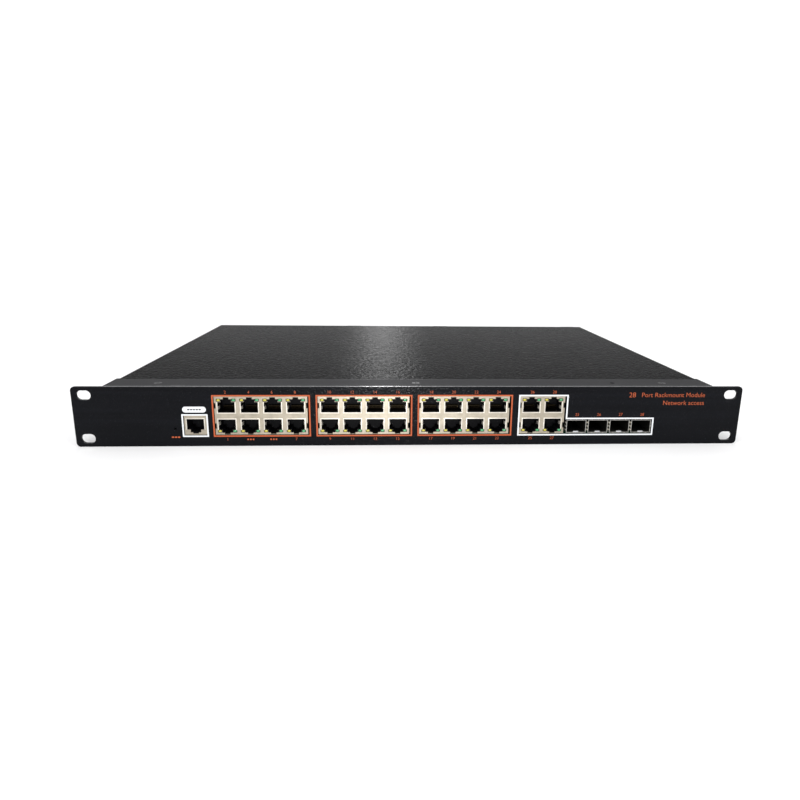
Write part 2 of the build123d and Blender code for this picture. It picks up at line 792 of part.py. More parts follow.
def switch_body():
    """The rocker switch's snap-in body with the trunnion holes."""
    flange = slab(rocker_x - 7.6, rocker_x + 7.6, case_depth + 0.05, case_depth + 1.9, rocker_z - 12.0,
                  rocker_z + 12.0)
    flange = fillet(flange.edges().filter_by(Axis.Y), 1.5)
    housing = slab(rocker_x - 6.5, rocker_x + 6.5, case_depth - 16.0, case_depth + 1, rocker_z - 10.5,
                   rocker_z + 10.5)
    cavity = slab(rocker_x - 5.1, rocker_x + 5.1, case_depth - 13.0, case_depth + 3, rocker_z - 9.0,
                  rocker_z + 9.0)
    tabs = [slab(rocker_x - 0.4, rocker_x + 0.4, case_depth - 22.0, case_depth - 15.5, z - 2.4, z + 2.4)
            for z in (rocker_z - 6.0, rocker_z + 6.0)]
    body = flange + housing - cavity
    for tab in tabs:
        body += tab
    return body - rod_x(rocker_x - 6.0, rocker_x + 6.0, pivot_depth, rocker_z, 1.1)


def power_rocker():
    """The rocker: a round-ended block with two faces meeting in a shallow V, on two trunnions."""
    pivot = Pos(rocker_x, front_face + pivot_depth, rocker_z)
    swing = rocker_swing / 2
    drum = Rot(0, 90, 0) * Cylinder(rocker_round, rocker_half * 2)
    keep = Pos(0, -2.0, 0) * Box(20, 12.0, 40, align=(Align.CENTER, Align.MIN, Align.CENTER))
    drum = drum & keep
    halves = [Pos(0, 4.6, 0) * Rot(sign * swing, 0, 0) * Box(20, 20, 60, align=(Align.CENTER, Align.MIN,
                                                                                Align.CENTER))
              for sign in (-1, 1)]
    drum = drum - (halves[0] & halves[1])
    arms = Rot(0, 90, 0) * Cylinder(1.03, 11.6)
    rocker = drum + arms
    return pivot * Rot(swing, 0, 0) * rocker


# ---- earth stud ----
def ground_stud():
    """The earth stud: head inside the wall, a thick root and the free end."""
    head = rod_y(stud_x, stud_z, 4.0, wall_inner - 2.0, wall_inner)
    root = rod_y(stud_x, stud_z, stud_root, wall_inner - 1.0, case_depth + 4.0)
    free = rod_y(stud_x, stud_z, stud_end, case_depth + 3.9, case_depth + rear_reach)
    return head + root + free


def ground_nut():
    """The washer and the nut on the earth stud."""
    place = Pos(stud_x, front_face + case_depth, stud_z) * Rot(-90, 0, 0)
    bore = stud_root + 0.05
    washer = Cylinder(5.0, 0.8, align=BASE) - Cylinder(bore, 0.8, align=BASE)
    return [place * washer, place * Pos(0, 0, 0.8) * hex_nut(8.0, 3.0, bore)]


# ---- fans ----
def fan_frame(x):
    """The square frame of a fan: bore, corner holes, and the motor cup on four struts."""
    back, front = wall_inner, wall_inner - fan_depth
    half = fan_side / 2
    frame = slab(x - half, x + half, front, back, fan_z - half, fan_z + half)
    frame = fillet(frame.edges().filter_by(Axis.Y), 3.0)
    frame = frame - rod_y(x, fan_z, fan_bore, front - 1, back + 1)
    frame = frame - [rod_y(x + dx, fan_z + dz, 1.6, front - 1, back + 1) for dx, dz in fan_corners()]
    cup = rod_y(x, fan_z, 10.5, front, front + 3.0)
    for turn in (45, 135):
        bar = Pos(x, front_face + front, fan_z) * Rot(0, turn, 0) * Box(
            fan_bore * 2 + 1.0, 2.4, 3.0, align=(Align.CENTER, Align.MIN, Align.CENTER))
        cup += bar
    tube = rod_y(x, fan_z, 3.0, front + 2.9, front + 11.0)
    frame = frame + cup + tube
    return frame - rod_y(x, fan_z, 1.04, front + 1.0, front + 12.0)


def fan_rotor(x):
    """The rotor: hub, shaft and twisted blades."""
    front = wall_inner - fan_depth
    hub = rod_y(x, fan_z, 10.8, front + 3.8, front + 17.0)
    hub = fillet(hub.edges().group_by(Axis.Y)[-1], 1.5)
    hub = hub - rod_y(x, fan_z, 9.4, front + 3.0, front + 14.5)
    rotor = hub + rod_y(x, fan_z, 1.0, front + 2.0, front + 15.0)
    for i in range(blade_count):
        turn = 360.0 / blade_count * i
        blade = Pos(0, 0, 14.2) * Rot(0, 0, 38) * Box(1.2, 13.0, 7.4)
        rotor += Pos(x, front_face + front + 10.4, fan_z) * Rot(0, turn, 0) * blade
    return rotor & rod_y(x, fan_z, 18.3, front, front + 19.0)


def fan_guard(x):
    """A wire guard: four rings and a cross with eyes for the screws."""
    y = case_depth + 1.0
    place = Pos(x, front_face + y, fan_z) * Rot(-90, 0, 0)
    guard = place * Torus(18.2, 0.7)
    for radius in (14.0, 9.8, 5.6):
        guard += place * Torus(radius, 0.7)
    reach = fan_hole * 2 ** 0.5
    for turn in (45, 135):
        guard += Pos(x, front_face + y + 0.9, fan_z) * Rot(0, turn, 0) * Rot(0, 90, 0) * Cylinder(0.7,
                                                                                                  reach * 2 - 6.0)
    for dx, dz in fan_corners():
        eye = rod_y(x + dx, fan_z + dz, 3.7, y - 0.4, y + 0.9)
        guard += eye
    for dx, dz in fan_corners():
        guard -= rod_y(x + dx, fan_z + dz, 1.7, y - 2, y + 3)
    return guard


def fan_screws():
    """Four screws for each fan."""
    return [rear_screw(x + dx, fan_z + dz, case_depth + 1.9, 9.0, 2.9) for x in fan_xs
            for dx, dz in fan_corners()]


# ---- inner leads ----
def lead(points, radius):
    """An insulated lead along a route of straight runs joined by tangent arcs."""
    places = [Vector(x, front_face + y, z) for x, y, z in points]
    bends = []
    for before, corner, after in zip(places, places[1:], places[2:]):
        turn = (corner - before).get_angle(after - corner)
        shorter = min((corner - before).length, (after - corner).length)
        half_turn = radians(turn / 2)
        bends.append(0.45 * shorter * cos(half_turn) / sin(half_turn))
    path = FilletPolyline(*places, radius=bends)
    start = path @ 0
    profile = Plane(origin=start, z_dir=path % 0) * Circle(radius)
    return sweep(profile, path)


def mains_leads():
    """Two leads from the inlet's blades to the supply's mains terminal."""
    made = []
    for shift in (0.0, 1.0):
        x = inlet_x - 7.0 + shift * 14.0
        end_x = -189.0 + shift * 8.0
        made.append(lead([(x, case_depth - 30.2, socket_z - 2), (x - 1, 282.0, 24.5),
                          (end_x, 277.0, 23.0 - shift), (end_x, 277.0, 19.4)], 1.1))
    return made


def supply_lead():
    """The bundle from the supply's output to the main board's header."""
    x, y, _ = header_places["supply"]
    return lead([(-100.0, 219.8, board_top + 9.2), (-100.0, 219.8, 24.0), (-80.0, 212.0, 30.0),
                 (x - 4, 204.0, 28.0), (x, y, 24.0), (x, y, board_top + 9.2)], 2.4)


def fan_leads():
    """One lead from each fan to its header."""
    made = []
    for fan_x, key in zip(fan_xs, ("fan_1", "fan_2")):
        x, y, _ = header_places[key]
        made.append(lead([(fan_x - 12.0, wall_inner - fan_depth - 0.2, 12.0), (fan_x - 14.0, 280.0, 11.0),
                          (x + 4.0, 250.0, 12.0), (x, 222.0, 16.0), (x, y, 24.0), (x, y, board_top + 9.2)], 1.1))
    return made


def build_all():
    """Writes every node."""
    save("front_panel", front_panel())
    save("panel_nuts", panel_nuts())
    save("base_tray", base_tray())
    save("top_cover", top_cover())
    save("bracket_left", rack_bracket(-1))
    save("bracket_right", rack_bracket(1))
    save("lip_screws", lip_screws())
    save("cover_screws", cover_side_screws() + tab_screws())
    save("bracket_screws", bracket_screws())
    for block in range(len(block_centres)):
        save(f"port_block_{block + 1}_shield", port_shield(block))
        save(f"port_block_{block + 1}_insert", port_insert(block))
    for name, side in (("yellow", -1), ("green", 1)):
        save(f"port_lamps_{name}", [box for block in range(len(block_centres))
                                    for box in lamp_boxes(block, side)])
    save("console_shield", console_shield())
    save("console_insert", console_insert())
    save("jack_contacts", jack_contacts())
    save("sfp_cage", sfp_cage())
    save("sfp_gasket", sfp_gasket())
    save("sfp_connectors", sfp_connectors())
    save("reset_switch_body", reset_switch())
    save("reset_button", reset_button())
    save("main_board", main_board())
    places = standoff_places() + supply_places()
    save("board_pillars", pillars(places))
    save("board_screws", board_screws(places))
    save("switch_chip", chip(*switch_place, 31.0, 31.0, 1.8))
    save("board_heatsinks", board_heatsinks())
    save("board_chips", line_chips() + memory_chips() + [chip(*processor_place, 19.0, 19.0, 1.6)])
    save("line_transformers", line_transformers())
    save("board_capacitors", board_capacitors())
    save("board_coils", board_coils())
    save("lead_headers", board_headers() + supply_terminals())
    save("supply_board", supply_board())
    save("supply_insulator", supply_insulator())
    save("supply_transformer", supply_transformer())
    save("supply_winding", supply_winding())
    save("supply_capacitors", supply_capacitors())
    save("supply_heatsinks", supply_heatsinks())
    save("supply_choke", supply_choke())
    save("power_inlet", power_inlet())
    save("inlet_pins", inlet_pins())
    save("fuse_drawer", fuse_drawer())
    save("fuse", fuse())
    save("power_switch_body", switch_body())
    save("power_rocker", power_rocker())
    save("ground_stud", ground_stud())
    save("ground_nut", ground_nut())
    for i, x in enumerate(fan_xs):
        save(f"fan_frame_{i + 1}", fan_frame(x))
        save(f"fan_rotor_{i + 1}", fan_rotor(x))
    save("fan_guards", [fan_guard(x) for x in fan_xs])
    save("rear_screws", inlet_screws() + fan_screws())
    save("inner_leads", mains_leads() + [supply_lead()] + fan_leads())


os.makedirs("parts", exist_ok=True)
build_all()
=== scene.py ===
"""Finishes and fine pieces of a one-unit rackmount network switch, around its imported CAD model."""
import json
import logging
import math
from dataclasses import dataclass, field
from enum import Enum

import bmesh
import bpy
import numpy as np
from mathutils import Matrix, Vector


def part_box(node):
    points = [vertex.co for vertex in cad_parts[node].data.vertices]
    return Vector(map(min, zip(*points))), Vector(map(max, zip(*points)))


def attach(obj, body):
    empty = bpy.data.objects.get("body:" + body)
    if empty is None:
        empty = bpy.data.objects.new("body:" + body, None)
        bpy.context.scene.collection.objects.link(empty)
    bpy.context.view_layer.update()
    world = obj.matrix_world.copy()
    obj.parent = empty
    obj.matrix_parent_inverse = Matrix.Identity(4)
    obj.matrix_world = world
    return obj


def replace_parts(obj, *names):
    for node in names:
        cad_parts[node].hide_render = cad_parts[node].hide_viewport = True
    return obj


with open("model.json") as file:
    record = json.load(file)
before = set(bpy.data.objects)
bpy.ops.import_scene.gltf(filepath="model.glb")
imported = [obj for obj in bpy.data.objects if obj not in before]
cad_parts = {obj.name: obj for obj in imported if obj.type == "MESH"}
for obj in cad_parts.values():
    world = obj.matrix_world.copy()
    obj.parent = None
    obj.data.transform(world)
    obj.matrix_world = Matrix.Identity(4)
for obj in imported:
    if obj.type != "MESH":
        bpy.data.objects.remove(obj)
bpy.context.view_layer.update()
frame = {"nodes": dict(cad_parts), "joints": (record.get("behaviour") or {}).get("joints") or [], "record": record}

MM = 0.001
LOG = logging.getLogger("network_switch")


# ------------------------------------------------------------------ shader arithmetic
class Value:
    """A number socket that Python arithmetic can be written with; each operator adds one Math node."""

    def __init__(self, tree: bpy.types.NodeTree, socket: bpy.types.NodeSocket) -> None:
        """Wraps a socket of a tree."""
        self.tree = tree
        self.socket = socket

    def math(self, operation: str, *others: "Value | float", clamp: bool = False) -> "Value":
        """Adds a Math node that takes this value first.

        Args:
            operation: the Math node's operation.
            others: the further inputs, values or plain numbers.
            clamp: whether the result is held between 0 and 1.

        Returns:
            The node's result.
        """
        node = self.tree.nodes.new("ShaderNodeMath")
        node.operation = operation
        node.use_clamp = clamp
        for socket, item in zip(node.inputs, (self, *others)):
            if isinstance(item, Value):
                self.tree.links.new(item.socket, socket)
            else:
                socket.default_value = float(item)
        return Value(self.tree, node.outputs[0])

    def __add__(self, other: "Value | float") -> "Value":
        """This plus other."""
        return self.math("ADD", other)

    __radd__ = __add__

    def __mul__(self, other: "Value | float") -> "Value":
        """This times other."""
        return self.math("MULTIPLY", other)

    __rmul__ = __mul__

    def __sub__(self, other: "Value | float") -> "Value":
        """This less other."""
        return self.math("SUBTRACT", other)

    def __rsub__(self, other: float) -> "Value":
        """A number less this."""
        return (self * -1.0) + other

    def step(self, low: float, high: float) -> "Value":
        """0 below low, 1 above high and straight between."""
        return ((self - low) * (1.0 / (high - low))).math("ADD", 0.0, clamp=True)


Link = Value | bpy.types.NodeSocket | float | tuple


class Recipe:
    """One material and the means to write its nodes."""

    def __init__(self, name: str) -> None:
        """Makes an empty material with its output node."""
        self.material = bpy.data.materials.new(name)
        self.material.use_nodes = True
        self.tree = self.material.node_tree
        self.tree.nodes.clear()
        self.output = self.tree.nodes.new("ShaderNodeOutputMaterial")

    def node(self, kind: str, settings: dict | None = None, **inputs: Link) -> bpy.types.Node:
        """Adds any node.

        Args:
            kind: the node's type without its ShaderNode prefix.
            settings: properties of the node, set before its sockets.
            inputs: socket names, with underscores for spaces, to values or links.

        Returns:
            The node.
        """
        node = self.tree.nodes.new("ShaderNode" + kind)
        for key, value in (settings or {}).items():
            if key == "stops":
                self._stops(node, value)
            else:
                setattr(node, key, value)
        for key, value in inputs.items():
            self._feed(node.inputs[key.replace("_", " ")], value)
        return node

    def _feed(self, socket: bpy.types.NodeSocket, value: Link) -> None:
        """Links a socket or sets its own number or colour.

        Args:
            socket: the input to fill.
            value: a link, a number or a colour.
        """
        if isinstance(value, Value):
            self.tree.links.new(value.socket, socket)
        elif isinstance(value, bpy.types.NodeSocket):
            self.tree.links.new(value, socket)
        else:
            socket.default_value = value

    @staticmethod
    def _stops(node: bpy.types.Node, stops: list[tuple[float, tuple]]) -> None:
        """Sets a colour ramp's stops.

        Args:
            node: the ramp.
            stops: each place from 0 to 1 with its colour.
        """
        ramp = node.color_ramp
        while len(ramp.elements) > 1:
            ramp.elements.remove(ramp.elements[-1])
        for index, (place, colour) in enumerate(stops):
            stop = ramp.elements[0] if index == 0 else ramp.elements.new(place)
            stop.position = place
            stop.color = colour

    def value(self, node: bpy.types.Node, output: str | int = 0) -> Value:
        """One output of a node as a number that arithmetic can use."""
        return Value(self.tree, node.outputs[output])

    def place(self) -> bpy.types.NodeSocket:
        """Object coordinates, in metres."""
        return self.node("TexCoord").outputs["Object"]

    def axes(self) -> tuple[Value, Value, Value]:
        """The object's X, Y and Z as numbers."""
        split = self.node("SeparateXYZ", Vector=self.place())
        return tuple(self.value(split, name) for name in "XYZ")

    def noise(self, size: float, detail: float = 2.0, rough: float = 0.5, warp: float = 0.0) -> Value:
        """Smooth noise from 0 to 1 whose lumps are about size metres across.

        Args:
            size: the size of the lumps.
            detail: how many finer layers it has.
            rough: how strong the finer layers are.
            warp: how far the lumps are bent.

        Returns:
            The noise.
        """
        node = self.node("TexNoise", Vector=self.place(), Scale=1.0 / size, Detail=detail, Roughness=rough,
                         Distortion=warp)
        return self.value(node, "Fac")

    def cells(self, size: float, feature: str = "SMOOTH_F1") -> Value:
        """Distance within rounded cells about size metres across."""
        node = self.node("TexVoronoi", {"feature": feature}, Vector=self.place(), Scale=1.0 / size)
        return self.value(node, "Distance")

    def mix(self, share: Link, first: Link, second: Link) -> bpy.types.NodeSocket:
        """Mixes two colours by a share from 0 to 1.

        Args:
            share: how much of the second colour.
            first: the colour at 0.
            second: the colour at 1.

        Returns:
            The mixed colour.
        """
        node = self.node("Mix", {"data_type": "RGBA"})
        self._feed(node.inputs[0], share)
        self._feed(node.inputs[6], first)
        self._feed(node.inputs[7], second)
        return node.outputs[2]

    def bump(self, height: Value, depth: float, strength: float = 1.0,
             under: bpy.types.NodeSocket | None = None) -> bpy.types.NodeSocket:
        """A bumped normal from a height of 0 to 1 that stands for depth metres.

        Args:
            height: the height.
            depth: what a height of 1 stands for.
            strength: how far it tilts the light.
            under: a normal that it is laid over.

        Returns:
            The normal.
        """
        node = self.node("Bump", Height=height, Distance=depth, Strength=strength)
        if under is not None:
            self.tree.links.new(under, node.inputs["Normal"])
        return node.outputs["Normal"]

    def finish(self, **inputs: Link) -> bpy.types.Material:
        """Closes the material with one Principled shader.

        Args:
            inputs: the shader's socket names, with underscores for spaces, to values or links.

        Returns:
            The material.
        """
        shader = self.node("BsdfPrincipled", None, **inputs)
        self.tree.links.new(shader.outputs[0], self.output.inputs["Surface"])
        return self.material


def rgba(colour: tuple[float, float, float], gain: float = 1.0) -> tuple[float, float, float, float]:
    """A colour with its alpha, brightened by gain."""
    return (*(min(1.0, channel * gain) for channel in colour), 1.0)


# ------------------------------------------------------------------ finishes
@dataclass(frozen=True)
class PowderCoat:
    """Black powder paint: rounded grains, a fine orange peel over them and faint colour drift, with painted
    reflection streaks along X, painted glint specks and a painted sheen on faces that point up.
    """

    colour: tuple[float, float, float]
    grain: float
    depth: float
    roughness: float
    shine: float
    fleck: float = 0.0
    dust: float = 0.0

    def make(self, name: str) -> bpy.types.Material:
        """Builds the material."""
        r = Recipe(name)
        grains = r.cells(self.grain * MM)
        lumps = r.noise(self.grain * 2.2 * MM, 3.0, 0.6)
        drift = r.noise(60 * MM, 2.0)
        # painted reflection: long streaks along X that lighten the coat's colour
        lay = r.node("Mapping", Vector=r.place(), Scale=(1.5, 60.0, 60.0))
        reflection_streaks = r.value(r.node("TexNoise", Vector=lay.outputs[0], Scale=3.0, Detail=3.0), "Fac")
        base = r.mix(drift.step(0.35, 0.7), rgba(self.colour, 0.85), rgba(self.colour, 1.15))
        base = r.mix(reflection_streaks.step(0.45, 0.75) * 0.6, base, rgba(self.colour, 1.9))
        # painted glints: bright specks where the grain cells and the peel lumps meet
        glint_specks = (1.0 - grains).step(0.62, 0.98) * lumps.step(0.45, 0.75) * self.fleck
        base = r.mix(glint_specks, base, rgba(self.colour, 5.0))
        # painted sheen: faces that point upward are mixed toward a lighter grey
        upward = r.value(r.node("SeparateXYZ", Vector=r.node("NewGeometry").outputs["Normal"]), "Z")
        base = r.mix(upward.step(0.3, 0.9) * self.dust, base, (0.12, 0.12, 0.125, 1.0))
        normal = r.bump(1.0 - grains, self.depth * MM)
        normal = r.bump(lumps, self.depth * 1.6 * MM, 0.8, normal)
        rough = (lumps * 0.2) + (self.roughness - 0.1)
        return r.finish(Base_Color=base, Roughness=rough, Normal=normal, Specular_IOR_Level=self.shine)


@dataclass(frozen=True)
class Plate:
    """Plated or bare metal: a directional grain, dull clouds and small handling marks."""

    colour: tuple[float, float, float]
    roughness: float
    grain: float = 0.25
    metal: float = 1.0
    stretch: tuple[float, float, float] = (1.0, 1.0, 12.0)
    mottle: float = 0.1

    def make(self, name: str) -> bpy.types.Material:
        """Builds the material."""
        r = Recipe(name)
        lay = r.node("Mapping", Vector=r.place(), Scale=self.stretch)
        scale = 1.0 / (self.grain * MM)
        lines = r.value(r.node("TexNoise", Vector=lay.outputs[0], Scale=scale, Detail=3.0), "Fac")
        clouds = r.noise(6 * MM, 3.0, 0.6)
        spots = r.cells(1.1 * MM, "F1").step(0.0, 0.12)
        dull, bright = rgba(self.colour, 1.0 - self.mottle), rgba(self.colour, 1.0 + self.mottle)
        base = r.mix(clouds.step(0.3, 0.75), dull, bright)
        base = r.mix((1.0 - spots) * 0.25, base, rgba(self.colour, 0.7))
        rough = (lines * 0.12) + (clouds * 0.14) + (self.roughness - 0.13)
        return r.finish(Base_Color=base, Roughness=rough, Metallic=self.metal,
                        Normal=r.bump(lines, 0.004 * MM, 0.5))


@dataclass(frozen=True)
class Moulding:
    """Moulded plastic or resin: fine spark-eroded grain and slow flow marks."""

    colour: tuple[float, float, float]
    roughness: float
    grain: float = 0.18
    depth: float = 0.006
    coat: float = 0.0
    shine: float = 0.5

    def make(self, name: str) -> bpy.types.Material:
        """Builds the material."""
        r = Recipe(name)
        pits = r.noise(self.grain * MM, 2.0)
        flow = r.noise(9 * MM, 2.0, 0.5, 1.0)
        base = r.mix(flow.step(0.35, 0.7), rgba(self.colour, 0.9), rgba(self.colour, 1.12))
        rough = (pits * 0.1) + (flow * 0.1) + (self.roughness - 0.1)
        return r.finish(Base_Color=base, Roughness=rough, Normal=r.bump(pits, self.depth * MM, 0.7),
                        Coat_Weight=self.coat, Coat_Roughness=0.15, Specular_IOR_Level=self.shine)


@dataclass(frozen=True)
class CagePlate:
    """Plated cage walls with painted shade: the plating's colour at the front edge turns to a dark shade colour
    the deeper they go, and they grow rougher.
    """

    colour: tuple[float, float, float]
    # the painted shade colour deep inside
    deep: tuple[float, float, float]
    front: float
    fade: float = 1.4

    def make(self, name: str) -> bpy.types.Material:
        """Builds the material."""
        r = Recipe(name)
        _, y, _ = r.axes()
        # painted shade: 0 at the front edge, 1 once fade behind it
        inside = y.step(self.front * MM, (self.front + self.fade) * MM)
        clouds = r.noise(4 * MM, 3.0, 0.6)
        base = r.mix(clouds.step(0.3, 0.75), rgba(self.colour, 0.85), rgba(self.colour, 1.1))
        # painted shade: the colour turns to the dark deep colour behind the front edge
        base = r.mix(inside, base, rgba(self.deep))
        return r.finish(Base_Color=base, Roughness=(clouds * 0.14) + (inside * 0.1) + 0.32, Metallic=0.9,
                        Normal=r.bump(clouds, 0.02 * MM, 0.5))


@dataclass(frozen=True)
class LampLens:
    """The coloured lens of a lamp under a gloss coat, with painted light: a pale painted highlight where it faces
    the viewer and a deeper painted shade towards its rim.
    """

    heart: tuple[float, float, float]
    rim: tuple[float, float, float]
    glow: float

    def make(self, name: str) -> bpy.types.Material:
        """Builds the material."""
        r = Recipe(name)
        # painted highlight and shade: the colour follows how far the surface turns from the viewer
        facing = r.value(r.node("LayerWeight", Blend=0.35), "Facing")
        cloud = r.noise(0.7 * MM, 2.0)
        share = (facing.step(0.05, 0.75) * 0.8) + (cloud * 0.25)
        base = r.mix(share, rgba(self.heart), rgba(self.rim))
        return r.finish(Base_Color=base, Roughness=(cloud * 0.1) + 0.16, Coat_Weight=0.6, Coat_Roughness=0.08,
                        Emission_Color=base, Emission_Strength=self.glow)


@dataclass(frozen=True)
class Ink:
    """Screen-printed ink: flat colour with slight thin spots and a dry surface."""

    colour: tuple[float, float, float]
    wear: float = 0.12

    def make(self, name: str) -> bpy.types.Material:
        """Builds the material."""
        r = Recipe(name)
        thin = r.noise(0.5 * MM, 3.0, 0.65)
        broad = r.noise(7 * MM, 2.0)
        base = r.mix((thin.step(0.55, 0.8) * 0.7 + broad.step(0.4, 0.8) * 0.5) * self.wear,
                     rgba(self.colour), rgba(self.colour, 0.35))
        return r.finish(Base_Color=base, Roughness=(thin * 0.2) + 0.45, Normal=r.bump(thin, 0.006 * MM, 0.6),
                        Specular_IOR_Level=0.3)


@dataclass(frozen=True)
class Laminate:
    """A circuit board: solder mask over copper runs, with pads."""

    mask: tuple[float, float, float]
    copper: tuple[float, float, float]
    pitch: float = 2.1

    def make(self, name: str) -> bpy.types.Material:
        """Builds the material."""
        r = Recipe(name)
        bricks = r.node("TexBrick", {"offset": 0.35, "squash": 1.6, "squash_frequency": 3}, Vector=r.place(),
                        Scale=1.0 / (self.pitch * 4 * MM), Mortar_Size=0.035, Mortar_Smooth=0.2)
        runs = r.value(bricks, "Fac")
        pads = 1.0 - r.cells(self.pitch * 1.7 * MM, "F1").step(0.16, 0.2)
        weave = r.noise(0.35 * MM, 1.0)
        base = r.mix(runs * 0.8, rgba(self.mask), rgba(self.mask, 1.9))
        base = r.mix(pads * 0.85, base, rgba(self.copper))
        return r.finish(Base_Color=base, Roughness=(weave * 0.12) + 0.3, Metallic=pads * 0.8,
                        Normal=r.bump(runs + pads, 0.035 * MM, 0.6), Coat_Weight=0.3, Coat_Roughness=0.2)


@dataclass(frozen=True)
class CannedSleeve:
    """A can capacitor: dark sleeve on its side and a bare crimped metal top."""

    sleeve: tuple[float, float, float]
    top: tuple[float, float, float]

    def make(self, name: str) -> bpy.types.Material:
        """Builds the material."""
        r = Recipe(name)
        facing = r.node("SeparateXYZ", Vector=r.node("NewGeometry").outputs["Normal"])
        lid = r.value(facing, "Z").step(0.6, 0.9)
        grit = r.noise(0.4 * MM, 2.0)
        base = r.mix(lid, rgba(self.sleeve), rgba(self.top))
        return r.finish(Base_Color=base, Metallic=lid, Roughness=(grit * 0.15) + 0.25,
                        Normal=r.bump(grit, 0.01 * MM, 0.5))


@dataclass(frozen=True)
class FuseGlass:
    """A glass fuse: clear in the middle, with nickel caps at its ends."""

    centre: float
    half: float

    def make(self, name: str) -> bpy.types.Material:
        """Builds the material."""
        r = Recipe(name)
        x, _, _ = r.axes()
        caps = (x - self.centre).math("ABSOLUTE").step(self.half, self.half + 0.1 * MM)
        streak = r.noise(0.8 * MM, 2.0)
        base = r.mix(caps, (0.86, 0.9, 0.9, 1.0), (0.62, 0.6, 0.57, 1.0))
        return r.finish(Base_Color=base, Metallic=caps, Roughness=(streak * 0.1) + 0.06,
                        Alpha=(caps * 0.65) + 0.35)


FINISHES: dict[str, object] = {
    # panel_coat and case_coat carry painted glint specks; the panel coat's last value is a painted sheen on its
    # upward faces
    "panel_coat": PowderCoat((0.0030, 0.0033, 0.0046), 1.2, 0.14, 0.24, 0.085, 0.1, 0.2),
    "case_coat": PowderCoat((0.0085, 0.0085, 0.0088), 2.2, 0.34, 0.24, 0.001, 0.5),
    # the lip coat: a painted sheen lightens its upward faces; it dresses the base tray and the cover's front bend
    "lip_sheen_coat": PowderCoat((0.0085, 0.0085, 0.0088), 0.8, 0.03, 0.42, 0.001, 0.1, 0.36),
    # a grey copy of the case coat: painted highlight on the bend behind the panel
    "bend_highlight_coat": PowderCoat((0.09, 0.09, 0.092), 0.8, 0.03, 0.4, 0.01),
    # the second colour is the painted shade deeper inside the shields and the cage
    "tin_plate": CagePlate((0.42, 0.375, 0.30), (0.02, 0.018, 0.015), -162.45, 1.0),
    "nickel_cage": CagePlate((0.5, 0.49, 0.46), (0.045, 0.043, 0.04), -163.2),
    # a lighter copy of the tin and nickel plating: painted highlight on rims, springs and fingers
    "edge_highlight_plate": Plate((0.74, 0.70, 0.62), 0.38, 0.2, 0.8),
    "zinc_steel": Plate((0.6, 0.61, 0.62), 0.34, 0.2),
    "dark_screw": Plate((0.018, 0.018, 0.019), 0.55, 0.2, 0.4),
    # near black instead of gold: painted shade of the jacks' insides over the contacts
    "gold_contact": Plate((0.022, 0.017, 0.010), 0.45, 0.1),
    "brass_stud": Plate((0.72, 0.52, 0.24), 0.3, 0.2),
    "sink_aluminium": Plate((0.66, 0.67, 0.69), 0.38, 0.15, 1.0, (1.0, 10.0, 1.0)),
    "black_moulding": Moulding((0.0045, 0.0045, 0.006), 0.5, shine=0.12),
    "chip_resin": Moulding((0.018, 0.018, 0.02), 0.6, 0.12, 0.008),
    "ferrite": Moulding((0.035, 0.035, 0.038), 0.55, 0.25, 0.02),
    "header_nylon": Moulding((0.72, 0.68, 0.56), 0.5),
    "insulator_film": Moulding((0.5, 0.46, 0.36), 0.3, 0.4),
    "winding_tape": Moulding((0.6, 0.42, 0.04), 0.35, 0.5, 0.02, 0.3),
    "rocker_gloss": Moulding((0.01, 0.01, 0.011), 0.24, 0.3, 0.003, 0.5),
    "fan_resin": Moulding((0.012, 0.012, 0.013), 0.44),
    "lead_sleeve": Moulding((0.02, 0.02, 0.022), 0.5, 0.3, 0.01),
    # the first colour is the painted highlight, the second the painted shade of the rim
    "lamp_yellow": LampLens((0.52, 0.46, 0.05), (0.06, 0.05, 0.004), 0.08),
    "lamp_green": LampLens((0.06, 0.36, 0.14), (0.004, 0.045, 0.018), 0.05),
    "board_laminate": Laminate((0.012, 0.09, 0.035), (0.72, 0.6, 0.35)),
    "supply_laminate": Laminate((0.38, 0.27, 0.11), (0.6, 0.6, 0.58), 3.4),
    "capacitor_sleeve": CannedSleeve((0.012, 0.016, 0.05), (0.72, 0.72, 0.72)),
    "fuse_glass": FuseGlass(-170 * MM, 2.6 * MM),
}

MADE: dict[str, bpy.types.Material] = {}


def finish_of(slot: str) -> bpy.types.Material:
    """The material of a slot, built when it is first asked for."""
    if slot not in MADE:
        MADE[slot] = FINISHES[slot].make(slot)
    return MADE[slot]


def ink_of(name: str, colour: tuple[float, float, float]) -> bpy.types.Material:
    """A printing ink, built when it is first asked for.

    Args:
        name: the material's name.
        colour: the ink's colour.

    Returns:
        The material.
    """
    if name not in MADE:
        MADE[name] = Ink(colour).make(name)
    return MADE[name]


def linked(name: str, data: bpy.types.ID) -> bpy.types.Object:
    """A new object for some data, in the scene."""
    made = bpy.data.objects.new(name, data)
    bpy.context.scene.collection.objects.link(made)
    return made


def riding(name: str, mesh: bpy.types.Mesh, body: str) -> bpy.types.Object:
    """Makes a piece that moves with a CAD body.

    Args:
        name: the piece's name.
        mesh: its mesh, with its material.
        body: the CAD body.

    Returns:
        The object.
    """
    piece = linked(name, mesh)
    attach(piece, body)
    LOG.info("%s: %d faces", name, len(mesh.polygons))
    return piece


# ------------------------------------------------------------------ surfaces
def no_triangles() -> np.ndarray:
    """An empty table of triangles."""
    return np.empty((0, 3), int)


